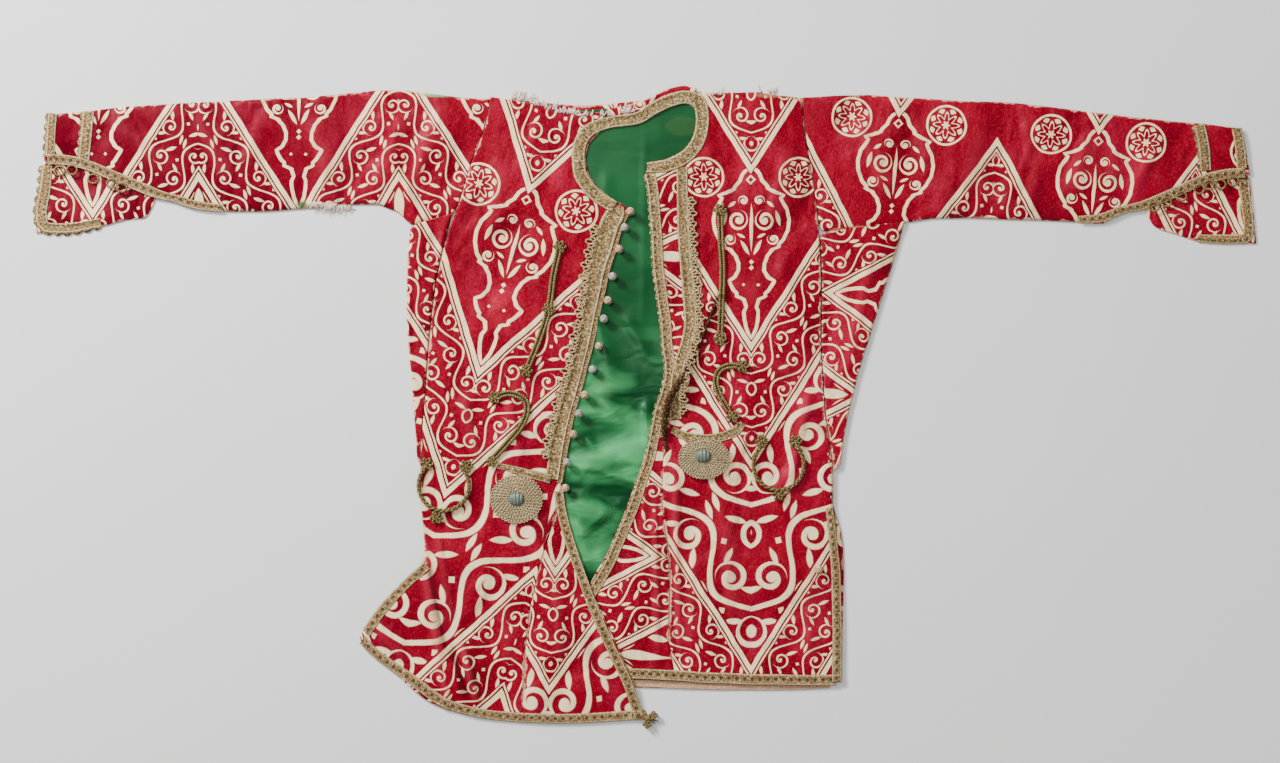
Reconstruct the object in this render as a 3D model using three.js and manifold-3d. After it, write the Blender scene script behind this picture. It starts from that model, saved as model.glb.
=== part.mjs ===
// A short, front-opening robe of figured silk, laid flat on its back with the fronts half open.
// Millimetres, +X along the sleeves, +Y towards the neck, +Z up from the surface it lies on.

import * as THREE from "three";
import { mergeVertices } from "three/addons/utils/BufferGeometryUtils.js";
import Module from "manifold-3d";

// ---------------------------------------------------------------- driving sizes

const CLOTH = 1.4; // silk with its interlining
const LINING = 1.1;
const GAP = 0.3; // clearance wherever one piece lies on or beside another
const SEAM_INSET = 0.2; // each panel stops this far short of the line it is sewn along
const BRAID = 1.0;
const BRAID_CROWN = 0.4;
const LACE = 0.8;
const BRAID_PITCH = 18; // length of one straight step of braid

const LINING_BASE = CLOTH + GAP;
const FRONT_BASE = LINING_BASE + LINING + GAP;
const FRONT_TOP = FRONT_BASE + CLOTH;
const OVERLAP_RISE = 3.2; // how far the left front climbs to lie on the edge of the right one
const TUCK_RISE = 2.6;

const CORD_RADIUS = 2.5;
const RING_RADIUS = 31.5;
const BUTTON_RADIUS = 5.4;

const RED = 0xa3142d;
const DEEP_RED = 0x8c1128;
const GREEN = 0x2c7a4e;
const BRAID_GOLD = 0xc4b088;
const LACE_SILVER = 0xd2c6a8;
const CORD_OLIVE = 0xa89a68;
const BOSS_GREY = 0x87907c;
const BUTTON_GOLD = 0xd9a878;
const BUTTON_SILVER = 0xb9aeb6;

// ---------------------------------------------------------------- the cut

// Armhole and side seams, shared by fronts, back, sleeves and side gores.
// Columns: y, x of the left seam, x of the right seam.
const SEAMS = [
  [387, -194, 194.5],
  [371, -196, 196.5],
  [352, -200.5, 198.5],
  [333, -207.5, 201],
  [314, -215, 204],
  [292, -222, 208],
  [276, -227, 210.5],
  [261, -231.5, 212.5],
  [250, -236, 213.5],
  [229, -244, 216],
  [197, -253, 218],
  [161, -261, 219.5],
  [120, -266.5, 219],
  [80, -270.5, 218.5],
  [60, -272, 219.7],
  [39, -273.5, 221],
  [17, -275, 222.4],
  [0, -276.5, 223.5],
  [-40, -280, 228],
  [-77, -282, 231],
  [-118, -281.5, 233],
];

// Opening edges of the main front panels, one pair for each row of SEAMS.
// Columns: x and y of the left front, x and y of the right front.
const OPENING = [
  [-49, 376, 67, 393],
  [-49, 364, 72, 374],
  [-53, 350, 68, 353],
  [-71, 331, 58, 333],
  [-75, 312, 43.5, 314],
  [-71, 292, 42, 292],
  [-59, 276, 42, 276],
  [-40, 261, 43, 261],
  [-20, 250, 44, 250],
  [-29, 229, 45.5, 229],
  [-38, 197, 48, 197],
  [-48, 161, 51.5, 161],
  [-57, 120, 56.5, 120],
  [-66.5, 80, 60.5, 80],
  [-71.5, 60, 56, 60],
  [-76.5, 39, 49, 39],
  [-82, 17, 39.5, 17],
  [-87, 0, 33, 0],
  [-96.5, -40, 23.5, -40],
  [-102, -77, 21.5, -77],
  [-107.5, -118, 21, -118],
];

// Skirts below the vents. Columns: left x, left y, right x, right y, sag of the row.
const FRONT_LEFT_SKIRT = [
  [-279, -139, -114, -139, 0],
  [-276, -171, -124, -171, 0],
  [-278, -193, -131, -193, 0],
  [-294, -213, -136, -216, 4],
  [-316, -241, -143, -244, 10],
  [-336, -264, -148, -279, 15],
  [-348, -279, -151, -317, 20],
  [-351, -283, -152.5, -352, 24],
  [-355, -288, -154, -392, 29],
];
const GORE_LEFT = [
  [-107.5, -118, -102, -118, 0],
  [-114, -139, -96, -139, 0],
  [-124, -171, -86.5, -171, 0],
  [-131, -193, -79, -193, 0],
  [-136, -216, -71.5, -214, 0],
  [-143, -244, -61, -241, 0],
  [-148, -279, -43, -279, 0],
  [-151, -317, -26, -317, 0],
  [-152.5, -352, -14, -350, 0],
  [-154, -392, -4, -386, 2],
];
const FRONT_RIGHT_SKIRT = [
  [23, -142, 236, -144, 0],
  [29, -177, 238, -176, 0],
  [31, -209, 241, -209, 0],
  [30, -251, 241, -252, 0],
  [29, -289, 241, -296, 0],
  [38, -339, 241, -343, 2],
];
const GORE_RIGHT = [
  [0, 300, 43.5, 314, 0],
  [1, 290, 42, 292, 0],
  [2.5, 276, 42, 276, 0],
  [6.5, 229, 45.5, 229, 0],
  [8, 197, 48, 197, 0],
  [10.5, 161, 51.5, 161, 0],
  [16, 120, 56.5, 120, 0],
  [20.5, 80, 60.5, 80, 0],
  [23, 60, 56, 60, 0],
  [24, 39, 49, 39, 0],
  [19, 17, 39.5, 17, 0],
  [14, 0, 33, 0, 0],
  [4, -40, 23.5, -40, 0],
  [-7, -77, 21.5, -77, 0],
  [-22, -118, 21, -118, 0],
  [-31, -142, 23, -142, 0],
  [-46, -177, 29, -177, 0],
  [-65, -210, 31, -209, 0],
  [-87, -252, 30, -251, 0],
  [-103, -289, 29, -289, 0],
  [-117, -328, 38, -339, 2],
];
const BACK_SKIRT = [
  [-278, -150, 244, -150, 0],
  [-276, -171, 247, -171, 0],
  [-275, -208, 248, -208, 0],
  [-276, -258, 247, -258, 0],
  [-277, -302, 246, -302, 0],
  [-278, -344, 242, -347, 3],
];
const BACK_NECK_SAG = 10;
// The lining's columns stand closer together where it shows between the fronts.
const LINING_STATIONS = [0, 0.2, 0.3, 0.34, 0.38, 0.42, 0.46, 0.5, 0.54, 0.58, 0.62, 1];

// The strip of the back that turns over the shoulder seam behind the neck.
// Columns: x and y of its upper edge, x and y of its lower edge, sag.
const BACK_NECK = [
  [-48, 376, -48, 350, 0],
  [-29, 377, -29, 352, 0],
  [-11, 380, -11, 355, 0],
  [4, 384, 6, 365, 0],
  [19, 391, 23, 373, 0],
  [33, 396, 38, 379, 0],
  [48, 399, 52, 381, 0],
  [64, 395, 64, 374, 0],
];

// Side gores, each folded double. Columns: fold x, fold y, seam x, seam y.
const SIDE_GORE_LEFT = [
  [-294, 225, -240.9, 237],
  [-295, 216, -244, 229],
  [-297, 199, -253, 197],
  [-298, 163, -261, 161],
  [-299, 124, -266.5, 120],
  [-297, 82, -270.5, 80],
  [-292.5, 40, -273.5, 39],
  [-290, -1, -276.5, 0],
  [-287, -38, -280, -40],
  [-285.5, -66, -281.5, -68],
];
const SIDE_GORE_RIGHT = [
  [321.5, 229, 216.7, 217],
  [311, 197, 218, 197],
  [301, 161, 219.5, 161],
  [290, 120, 219, 120],
  [277, 80, 218.5, 80],
  [263, 40, 221, 39],
  [252.5, 0, 223.5, 0],
  [244, -39, 228, -40],
  [238, -76, 231, -77],
];

// Sleeves from the cuff to the armhole, each row one flattened ring.
// Columns: x and y of the upper fold, x and y of the lower fold, height of the ring.
const SLEEVE_LEFT = [
  [-750, 367, -756, 310, 4.2],
  [-697, 372, -699, 301, 4.8],
  [-642, 378, -647, 281, 5.4],
  [-607, 380, -611, 266, 5.8],
  [-576, 382, -580, 253, 6.0],
  [-536, 384, -536, 246, 6.0],
  [-477, 387, -477, 246, 6.0],
  [-422, 389, -422, 250, 6.0],
  [-393, 392, -393, 252, 6.0],
  [-362, 395, -364, 255, 5.8],
  [-330, 398, -334, 255, 5.6],
  [-294, 397, -309, 245, 5.4],
  [-266, 393, -293, 228.5, 5.2],
  [-232, 389, -269, 234.5, 5.0],
];
const SLEEVE_RIGHT = [
  [746, 350, 755, 292, 4.2],
  [698, 356, 702, 284, 4.8],
  [658, 359, 659, 268, 5.2],
  [631, 362, 632, 256, 5.6],
  [603, 365, 603, 244, 5.8],
  [587, 367, 586, 238, 6.0],
  [568, 369, 574, 230, 6.0],
  [537, 373, 538, 233, 6.0],
  [497, 378, 499, 235, 6.0],
  [453, 383, 456, 236, 6.0],
  [402, 384, 402, 238, 6.0],
  [356, 387, 356, 237, 5.8],
  [318, 389, 323, 232, 5.4],
  [280, 392, 286, 228.5, 5.2],
  [237, 391, 249, 224.5, 5.0],
];
const ARMHOLE_LEFT_END = 243;
const ARMHOLE_RIGHT_END = 220;
const ARMHOLE_HEIGHT = FRONT_TOP;

// Underlaps of the slit cuffs. Columns: upper edge x, y, lower edge x, y, sag.
const CUFF_FLAP_LEFT = [
  [-757, 308, -763, 219, 0],
  [-721, 302, -719, 220, 0],
  [-679, 292, -681, 227, 0],
  [-648, 279, -648, 236, 0],
  [-628, 271, -624, 238, 0],
  [-611, 264, -619, 247, 0],
];
const CUFF_FLAP_RIGHT = [
  [755, 290, 763, 206, 0],
  [724, 286, 728, 206, 0],
  [692, 279, 694, 207, 0],
  [659, 266, 658, 219, 0],
  [639, 257, 640, 224, 0],
  [624, 249, 631, 232, 0],
];

// The line along which a slack tuck of the right front falls over the cloth below it.
const TUCK_LINE = [
  [93, 158],
  [91, 138],
  [83, 123],
  [63, 79],
  [49, 56],
  [37, 24],
  [24, -5],
  [22, -40],
];

// Largest folds, as ridges. Columns: x and y of one end, x and y of the other, half width, height.
const FOLDS_FRONT_LEFT = [
  [-276, -172, -250, -326, 11, 2.0],
  [-231, -288, -205, -372, 12, 2.4],
  [-178, 300, -196, 205, 16, 1.4],
  [-236, 30, -214, -66, 18, 1.4],
  [-330, -268, -290, -310, 12, 1.2],
];
const FOLDS_FRONT_RIGHT = [
  [176, 330, 150, 236, 18, 1.5],
  [205, 20, 178, -96, 18, 1.6],
  [96, -128, 104, -268, 20, 1.6],
  [206, -186, 200, -318, 14, 1.3],
];
const FOLDS_GORE_RIGHT = [[12, 250, 27, 110, 9, 1.0]];
const FOLDS_LINING = [
  [-86, -72, -6, -96, 7, 2.0],
  [0, 14, 2, -58, 8, 1.8],
  [-78, -158, -26, -112, 7, 1.8],
  [-4, 330, -6, 110, 7, 1.6],
  [-60, 20, -22, -34, 9, 1.6],
];
const FOLDS_SLEEVE_LEFT = [
  [-300, 372, -342, 276, 16, 1.4],
  [-420, 366, -400, 280, 18, 1.2],
  [-560, 362, -520, 282, 18, 1.2],
];
const FOLDS_SLEEVE_RIGHT = [
  [262, 366, 300, 262, 16, 1.4],
  [420, 360, 392, 262, 18, 1.2],
  [560, 352, 520, 256, 18, 1.2],
];

// ---------------------------------------------------------------- braids and laces

// Columns: x, y, width.
const NECK_BRAID = [
  [-46, 257, 16],
  [-64, 268, 17],
  [-79, 288, 17],
  [-83, 304, 17],
  [-83, 324, 17],
  [-78, 339, 17],
  [-66, 351, 17],
  [-42, 359, 17],
  [-11, 363, 17],
  [7, 374, 17],
  [20, 381, 17],
  [33, 386, 17],
  [48, 389, 17],
  [62, 386, 17],
  [69, 377, 17],
  [71, 358, 17],
  [67, 337, 17],
  [57, 321, 17],
  [44, 311, 17],
  [27, 304, 16],
  [14, 302, 15],
];
const BAND_LEFT = [
  [-43, 241, 24],
  [-49.5, 228, 23],
  [-55, 198, 22],
  [-62, 173, 17],
  [-69, 142, 16],
  [-76, 111, 16],
  [-83, 79, 16],
  [-90, 52, 17],
  [-98, 27, 18],
  [-109.5, -8, 20],
  [-116, -43, 22],
  [-120, -69, 22],
  [-123, -84, 22],
];
const EDGE_LEFT = [
  [-22, 246, 6],
  [-31, 228, 6],
  [-40, 198, 6],
  [-47, 176, 6],
  [-53, 146, 6],
  [-60, 117, 6],
  [-67, 86, 6],
  [-74, 58, 6],
  [-81, 29, 6],
  [-92, -8, 6],
  [-99, -43, 6],
  [-103, -69, 6],
  [-107, -93, 6],
];
const SKIRT_LEFT = [
  [-109, -103, 12],
  [-104, -133, 12],
  [-94, -168, 12],
  [-80, -209, 12],
  [-68, -242, 12],
  [-50, -283, 12],
  [-36, -313, 12],
  [-22, -343, 12],
  [-12, -373, 12],
];
const HEM_LEFT = [
  [-20, -381, 11],
  [-81, -386, 11],
  [-131, -386, 11],
  [-181, -383, 11],
  [-214, -376, 11],
  [-246, -364, 11],
  [-279, -342, 11],
  [-312, -319, 11],
  [-336, -300, 11],
  [-346, -290, 11],
];
const VENT_LEFT = [
  [-339, -276, 11],
  [-326, -260, 11],
  [-307, -237, 11],
  [-290, -215, 11],
  [-274, -199, 11],
];
const HEM_RIGHT = [
  [-77, -327, 9],
  [-7, -330, 9],
  [37, -333, 9],
  [118, -335, 9],
  [193, -337, 9],
  [226, -337, 9],
];
const VENT_RIGHT = [
  [235, -335, 10],
  [235, -296, 10],
  [235, -252, 10],
  [234, -209, 10],
  [232, -176, 10],
  [229, -147, 10],
  [227, -124, 10],
];
const EDGE_RIGHT = [
  [5, 294, 13],
  [10, 273, 13],
  [14, 223, 13],
  [16, 183, 13],
  [21, 139, 13],
  [26, 106, 13],
  [28, 78, 13],
  [31, 56, 13],
  [30, 39, 12],
  [25, 17, 12],
  [19, 1, 12],
  [11, -36, 12],
  [5, -64, 12],
  [-3, -89, 12],
  [-12, -116, 12],
  [-26, -151, 12],
  [-41, -186, 12],
  [-58, -216, 12],
  [-80, -252, 12],
  [-96, -289, 12],
  [-107, -318, 12],
];
const BAND_RIGHT = [
  [51, 296, 14],
  [51, 273, 14],
  [54, 223, 13],
  [57, 183, 15],
  [62, 139, 15],
  [67, 106, 15],
  [66, 82, 14],
  [57, 61, 14],
  [51, 41, 14],
  [49, 17, 17],
  [49, -2, 20],
  [50, -12, 22],
];
const ARM_LEFT = [
  [-137, -83, 10],
  [-160, -77, 8],
  [-182, -74, 6],
];
const ARM_RIGHT = [
  [33, -29, 8],
  [55, -31, 10],
  [78, -30, 9],
  [100, -26, 8],
  [118, -22, 7],
];
const CUFF_END_LEFT = [
  [-742, 365, 13],
  [-745, 346, 13],
  [-747, 328, 13],
];
const SLIT_LEFT = [
  [-750, 316, 11],
  [-724, 313, 11],
  [-697, 308, 11],
  [-664, 295, 11],
  [-631, 281, 11],
  [-601, 268, 10],
  [-576, 260, 9],
  [-553, 255, 8],
  [-529, 252, 8],
];
const CROSS_LEFT = [
  [-696, 369, 14],
  [-698, 348, 14],
  [-700, 322, 14],
];
const FLAP_EDGE_LEFT = [
  [-753, 298, 11],
  [-755, 273, 11],
  [-757, 246, 11],
  [-754, 229, 11],
  [-738, 226, 11],
  [-719, 226, 11],
  [-699, 229, 10],
  [-681, 233, 9],
];
const CUFF_END_RIGHT = [
  [739, 347, 13],
  [742, 330, 13],
  [744, 314, 13],
];
const SLIT_RIGHT = [
  [748, 299, 11],
  [724, 297, 11],
  [703, 292, 11],
  [676, 281, 11],
  [649, 269, 11],
  [621, 258, 10],
  [593, 248, 9],
  [568, 240, 8],
  [541, 239, 8],
];
const CROSS_RIGHT = [
  [692, 352, 14],
  [697, 329, 14],
  [700, 307, 14],
];
const FLAP_EDGE_RIGHT = [
  [749, 281, 11],
  [752, 254, 11],
  [755, 229, 11],
  [752, 215, 11],
  [738, 213, 11],
  [718, 213, 11],
  [696, 214, 10],
];
// Down the right edge of the back panel, where it shows beyond the front.
const BACK_EDGE = [
  [-57, -340, 8],
  [-7, -341, 8],
  [93, -343, 8],
  [193, -343, 8],
  [231, -342, 8],
];

// ---------------------------------------------------------------- corded ornaments

const BAR_LEFT = [
  [-107, 202],
  [-115, 166],
  [-121, 124],
  [-133, 86],
  [-149, 47],
];
const BAR_RIGHT = [
  [93, 248],
  [94, 211],
  [96, 176],
  [95, 136],
  [93, 87],
];
const SCROLL_LEFT = [
  [-188, 14],
  [-170, 19],
  [-152, 12],
  [-148, -3],
  [-156, -23],
  [-171, -41],
  [-190, -62],
];
const SCROLL_RIGHT = [
  [121, 53],
  [103, 53],
  [91, 46],
  [88, 31],
  [93, 16],
  [104, -3],
];
// Columns: x, y, radius.
const BAR_LEFT_KNOTS = [
  [-107, 202, 8],
  [-121, 124, 8],
  [-149, 47, 8],
];
const BAR_RIGHT_KNOTS = [
  [93, 248, 8],
  [93, 87, 8],
];
const SCROLL_LEFT_KNOTS = [
  [-188, 14, 8],
  [-192, -66, 7],
];
const SCROLL_RIGHT_KNOTS = [
  [121, 53, 8],
  [109, -10, 8],
];
const RING_LEFT_KNOTS = [
  [-273, -69, 8],
  [-224, -72, 8],
  [-261, -136, 8],
];
const RING_RIGHT_KNOTS = [
  [145, -41, 8],
  [187, -41, 8],
  [166, -107, 8],
];
const RING_LEFT_CENTRE = [-252, -96];
const RING_RIGHT_CENTRE = [166, -70];
// Half the gap left open at the top of a ring, in radians.
const RING_OPENING = 0.75;
// Columns: x, y, radius, stretch along y, x and y of the boss.
const ROSETTE_LEFT = [-161, -113, 33, 0.93, -161, -113];
const ROSETTE_RIGHT = [73, -62, 32, 0.82, 72, -59];

// Columns: x, y.
const BUTTONS = [
  [-19, 246],
  [-26, 226],
  [-33, 199],
  [-41, 165],
  [-47, 135],
  [-52, 112],
  [-58, 78],
  [-66, 49],
  [-76, 17],
  [-83, -6],
  [-90, -32],
  [-98, -67],
  [-100, -99],
];
const VENT_BUTTON = [216, -201];
const TASSEL = [3, -383];

// ---------------------------------------------------------------- helpers

const wasm = await Module();
wasm.setup();

function smoothstep(from, to, value) {
  return THREE.MathUtils.smoothstep(value, from, to);
}

// Nearest point of a line to (x, y): how far along it (0 to 1), how far off, and on which side.
function nearest(line, x, y) {
  let best = { distance: Infinity, along: 0, side: 1 };
  for (let i = 0; i < line.length - 1; i += 1) {
    const [x0, y0] = line[i];
    const dx = line[i + 1][0] - x0;
    const dy = line[i + 1][1] - y0;
    const part = THREE.MathUtils.clamp(((x - x0) * dx + (y - y0) * dy) / (dx * dx + dy * dy), 0, 1);
    const offX = x - x0 - part * dx;
    const offY = y - y0 - part * dy;
    const distance = Math.hypot(offX, offY);
    if (distance < best.distance) {
      best = {
        distance,
        along: (i + part) / (line.length - 1),
        side: dx * offY - dy * offX > 0 ? 1 : -1,
      };
    }
  }
  return best;
}

// The x at which a line that runs down the robe crosses the level y.
function xAtLevel(line, y) {
  const last = line.length - 1;
  const next = line.findIndex((point) => point[1] <= y);
  const lower = line[next <= 0 ? (next < 0 ? last : 1) : next];
  const upper = line[next <= 0 ? (next < 0 ? last - 1 : 0) : next - 1];
  return lower[0] + ((y - lower[1]) / (upper[1] - lower[1])) * (upper[0] - lower[0]);
}

// Soft ridges of a table of folds, each fading out towards both of its ends.
function foldHeight(folds, x, y) {
  let height = 0;
  for (const [x0, y0, x1, y1, halfWidth, rise] of folds) {
    const { distance, along } = nearest([[x0, y0], [x1, y1]], x, y);
    const fade = Math.min(1, 0.35 + 1.3 * Math.sin(Math.PI * along));
    height += rise * fade * Math.exp(-((distance / halfWidth) ** 2));
  }
  return height;
}

// A closed wall between the grid of its outer face and that of its inner face.
// A tube joins its last column to its first; rows are open ends in both kinds.
function wallGeometry(outer, inner, isTube = false) {
  const rows = outer.length;
  const columns = outer[0].length;
  const spans = isTube ? columns : columns - 1;
  const outerAt = (row, column) => row * columns + (column % columns);
  const innerAt = (row, column) => rows * columns + outerAt(row, column);
  const index = [];
  const quad = (a, b, c, d) => index.push(a, b, c, a, c, d);
  for (let i = 0; i < rows - 1; i += 1) {
    for (let j = 0; j < spans; j += 1) {
      quad(outerAt(i, j), outerAt(i + 1, j), outerAt(i + 1, j + 1), outerAt(i, j + 1));
      quad(innerAt(i, j), innerAt(i, j + 1), innerAt(i + 1, j + 1), innerAt(i + 1, j));
    }
  }
  const last = rows - 1;
  for (let j = 0; j < spans; j += 1) {
    quad(outerAt(0, j), outerAt(0, j + 1), innerAt(0, j + 1), innerAt(0, j));
    quad(outerAt(last, j + 1), outerAt(last, j), innerAt(last, j), innerAt(last, j + 1));
  }
  const edge = columns - 1;
  for (let i = 0; !isTube && i < rows - 1; i += 1) {
    quad(outerAt(i + 1, 0), outerAt(i, 0), innerAt(i, 0), innerAt(i + 1, 0));
    quad(outerAt(i, edge), outerAt(i + 1, edge), innerAt(i + 1, edge), innerAt(i, edge));
  }
  const points = [...outer.flat(), ...inner.flat()];
  return facingOutwards(points, index);
}

// Turns every face round if the closed surface came out inside out.
function facingOutwards(points, index) {
  let volume = 0;
  for (let i = 0; i < index.length; i += 3) {
    const [a, b, c] = index.slice(i, i + 3).map((corner) => points[corner]);
    volume += a.dot(b.clone().cross(c));
  }
  if (volume < 0) {
    index.reverse();
  }
  const geometry = new THREE.BufferGeometry().setFromPoints(points);
  geometry.setIndex(index);
  geometry.computeVertexNormals();
  return geometry;
}

// Height of a grid of points above (x, y), or nothing where it doesn't reach.
function gridHeight(grid, x, y) {
  for (let i = 0; i < grid.length - 1; i += 1) {
    for (let j = 0; j < grid[i].length - 1; j += 1) {
      const [a, b, c, d] = [grid[i][j], grid[i + 1][j], grid[i + 1][j + 1], grid[i][j + 1]];
      const height = triangleHeight(a, b, c, x, y) ?? triangleHeight(a, c, d, x, y);
      if (height !== undefined) {
        return height;
      }
    }
  }
  return undefined;
}

function triangleHeight(a, b, c, x, y) {
  const area = (b.x - a.x) * (c.y - a.y) - (c.x - a.x) * (b.y - a.y);
  const toB = ((x - a.x) * (c.y - a.y) - (c.x - a.x) * (y - a.y)) / area;
  const toC = ((b.x - a.x) * (y - a.y) - (x - a.x) * (b.y - a.y)) / area;
  if (!(toB >= 0 && toC >= 0 && toB + toC <= 1)) {
    return undefined;
  }
  return a.z + toB * (b.z - a.z) + toC * (c.z - a.z);
}

// Highest point of the pieces below within reach of (x, y), or the surface the robe lies on.
function restingHeight(below, x, y, reach) {
  let highest = 0;
  for (const dx of [-reach, 0, reach]) {
    for (const dy of [-reach, 0, reach]) {
      for (const piece of below) {
        highest = Math.max(highest, gridHeight(piece.top, x + dx, y + dy) ?? 0);
      }
    }
  }
  return highest;
}

// ---------------------------------------------------------------- cloth

// A cut panel: rows from edge to edge, laid at the height that `under` gives its lower face.
// `stations` says where its columns stand between the two edges, from 0 to 1.
function panel({ rows, stations, under, thickness }) {
  const place = (lift) =>
    rows.map(([startX, startY, endX, endY, sag], row) => {
      const length = Math.hypot(endX - startX, endY - startY);
      const inset = SEAM_INSET / length;
      return stations.map((station) => {
        const across = inset + (1 - 2 * inset) * station;
        const x = startX + across * (endX - startX);
        const y = startY + across * (endY - startY) - sag * Math.sin(Math.PI * across);
        return new THREE.Vector3(x, y, under(x, y, across, row / (rows.length - 1)) + lift);
      });
    });
  const top = place(thickness);
  return { top, geometry: wallGeometry(top, place(0)) };
}

// A gore folded double along its outer edge, its two seams lying one above the other.
function foldedGore(rows) {
  const corner = 1;
  const section = (x, y, toSeam, height) => new THREE.Vector3(x + toSeam, y, height);
  const ring = ([foldX, foldY, seamX, seamY], depth) => {
    const direction = Math.sign(seamX - foldX);
    const seam = seamX - direction * SEAM_INSET;
    const middle = (foldX + seam) / 2;
    const middleY = (foldY + seamY) / 2;
    const fold = direction * depth;
    const bend = direction * (depth + corner * (depth > 0 ? 0.3 : 1));
    const upper = FRONT_TOP - depth;
    return [
      new THREE.Vector3(seam, seamY, upper),
      new THREE.Vector3(middle, middleY, upper),
      section(foldX, foldY, bend, upper),
      section(foldX, foldY, fold, upper - (depth > 0 ? 0.3 : corner)),
      section(foldX, foldY, fold, depth + (depth > 0 ? 0.3 : corner)),
      section(foldX, foldY, bend, depth),
      new THREE.Vector3(middle, middleY, depth),
      new THREE.Vector3(seam, seamY, depth),
    ];
  };
  const outer = rows.map((row) => ring(row, 0));
  const inner = rows.map((row) => ring(row, CLOTH));
  return { top: outer.map((row) => row.slice(0, 4)), geometry: wallGeometry(outer, inner) };
}

function evenly(columns) {
  return Array.from({ length: columns + 1 }, (_, column) => column / columns);
}

// The armhole seam from the shoulder down to a level, as points.
function armhole(column, end, shift) {
  const line = SEAMS.map((row) => [row[column], row[0]]);
  const points = line.filter((point) => point[1] > end);
  points.push([xAtLevel(line, end), end]);
  return points.map(([x, y]) => new THREE.Vector3(x + shift, y, 0));
}

// A flattened sleeve, open at the cuff and at the armhole.
function sleeve({ rings, seam, folds }) {
  const stations = [0, 0.03, 0.18, 0.36, 0.5, 0.64, 0.82, 0.97, 1];
  const seamCurve = new THREE.CurvePath();
  for (let i = 0; i < seam.length - 1; i += 1) {
    seamCurve.add(new THREE.LineCurve3(seam[i], seam[i + 1]));
  }
  const lines = rings.map(([topX, topY, bottomX, bottomY, height]) => ({
    at: (t) => new THREE.Vector3(topX + t * (bottomX - topX), topY + t * (bottomY - topY), 0),
    length: Math.hypot(bottomX - topX, bottomY - topY),
    height,
  }));
  lines.push({
    at: (t) => seamCurve.getPointAt(t).clone(),
    length: seamCurve.getLength(),
    height: ARMHOLE_HEIGHT,
  });
  const crown = (t, height) => CLOTH * 2.3 + (height - CLOTH * 2.3) * Math.sin(Math.PI * t) ** 0.6;
  const loop = (line, depth) => {
    const inset = depth / line.length;
    const squeeze = (t) => THREE.MathUtils.clamp(t, inset, 1 - inset);
    const point = (t, z) => line.at(squeeze(t)).setZ(z);
    const inside = stations.slice(1, -1);
    const upper = inside.map((t) => {
      const flat = line.at(t);
      return point(t, crown(t, line.height) + foldHeight(folds, flat.x, flat.y) - depth);
    });
    const lower = inside.map((t) => point(t, depth)).reverse();
    return [point(0, CLOTH * 1.15), ...upper, point(1, CLOTH * 1.15), ...lower];
  };
  const outer = lines.map((line) => loop(line, 0));
  const inner = lines.map((line) => loop(line, CLOTH));
  const top = outer.map((ring) => ring.slice(0, stations.length));
  return { top, geometry: wallGeometry(outer, inner, true) };
}

// ---------------------------------------------------------------- trimming

// A braid or lace laid along a path on the pieces below it, a little thicker along its middle.
function ribbon({ path, thickness = BRAID, on }) {
  const curve = new THREE.CatmullRomCurve3(
    path.map(([x, y, width]) => new THREE.Vector3(x, y, width)),
    false,
    "centripetal",
  );
  const steps = Math.max(2, Math.round(curve.getLength() / BRAID_PITCH));
  const outer = [];
  const inner = [];
  for (let i = 0; i <= steps; i += 1) {
    const { x, y, z: width } = curve.getPointAt(i / steps);
    const tangent = curve.getTangentAt(i / steps).setZ(0).normalize();
    const row = [-1, 0, 1].map((side) => {
      const px = x - (side * tangent.y * width) / 2;
      const py = y + (side * tangent.x * width) / 2;
      const rest = restingHeight(on, px, py, Math.max(BRAID_PITCH, width) / 2) + GAP;
      return new THREE.Vector3(px, py, rest);
    });
    inner.push(row);
    outer.push(
      row.map((point, side) => {
        const crown = side === 1 ? BRAID_CROWN : 0;
        return point.clone().setZ(point.z + thickness + crown);
      }),
    );
  }
  return { top: outer, geometry: wallGeometry(outer, inner) };
}

// Joins closed geometries into one body.
function union(geometries) {
  const solids = geometries.map((geometry) => {
    const bare = geometry.index ? geometry.toNonIndexed() : geometry.clone();
    bare.deleteAttribute("normal");
    bare.deleteAttribute("uv");
    const merged = mergeVertices(bare, 1e-4);
    const mesh = new wasm.Mesh({
      numProp: 3,
      vertProperties: merged.attributes.position.array,
      triVerts: Uint32Array.from(merged.index.array),
    });
    return new wasm.Manifold(mesh);
  });
  const whole = solids.reduce((sum, solid) => sum.add(solid)).getMesh();
  const geometry = new THREE.BufferGeometry();
  geometry.setAttribute("position", new THREE.BufferAttribute(whole.vertProperties, 3));
  geometry.setIndex(new THREE.BufferAttribute(whole.triVerts, 1));
  geometry.computeVertexNormals();
  return geometry;
}

// A closed outline with a given number of round lobes.
function lobedShape(radius, lobes, depth) {
  const shape = new THREE.Shape();
  const steps = lobes * 3;
  for (let i = 0; i < steps; i += 1) {
    const angle = (2 * Math.PI * i) / steps;
    const reach = radius * (1 - depth * (0.5 - 0.5 * Math.cos(lobes * angle)));
    const point = [reach * Math.cos(angle), reach * Math.sin(angle)];
    if (i === 0) {
      shape.moveTo(...point);
    } else {
      shape.lineTo(...point);
    }
  }
  shape.closePath();
  return shape;
}

function lobedDisc({ x, y, z, radius, lobes, height, depth = 0.22 }) {
  const bevel = height * 0.4;
  const geometry = new THREE.ExtrudeGeometry(lobedShape(radius - bevel, lobes, depth), {
    depth: height - 2 * bevel,
    bevelThickness: bevel,
    bevelSize: bevel,
    bevelSegments: 1,
  });
  geometry.computeBoundingBox();
  geometry.translate(x, y, z - geometry.boundingBox.min.z);
  return geometry;
}

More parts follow.
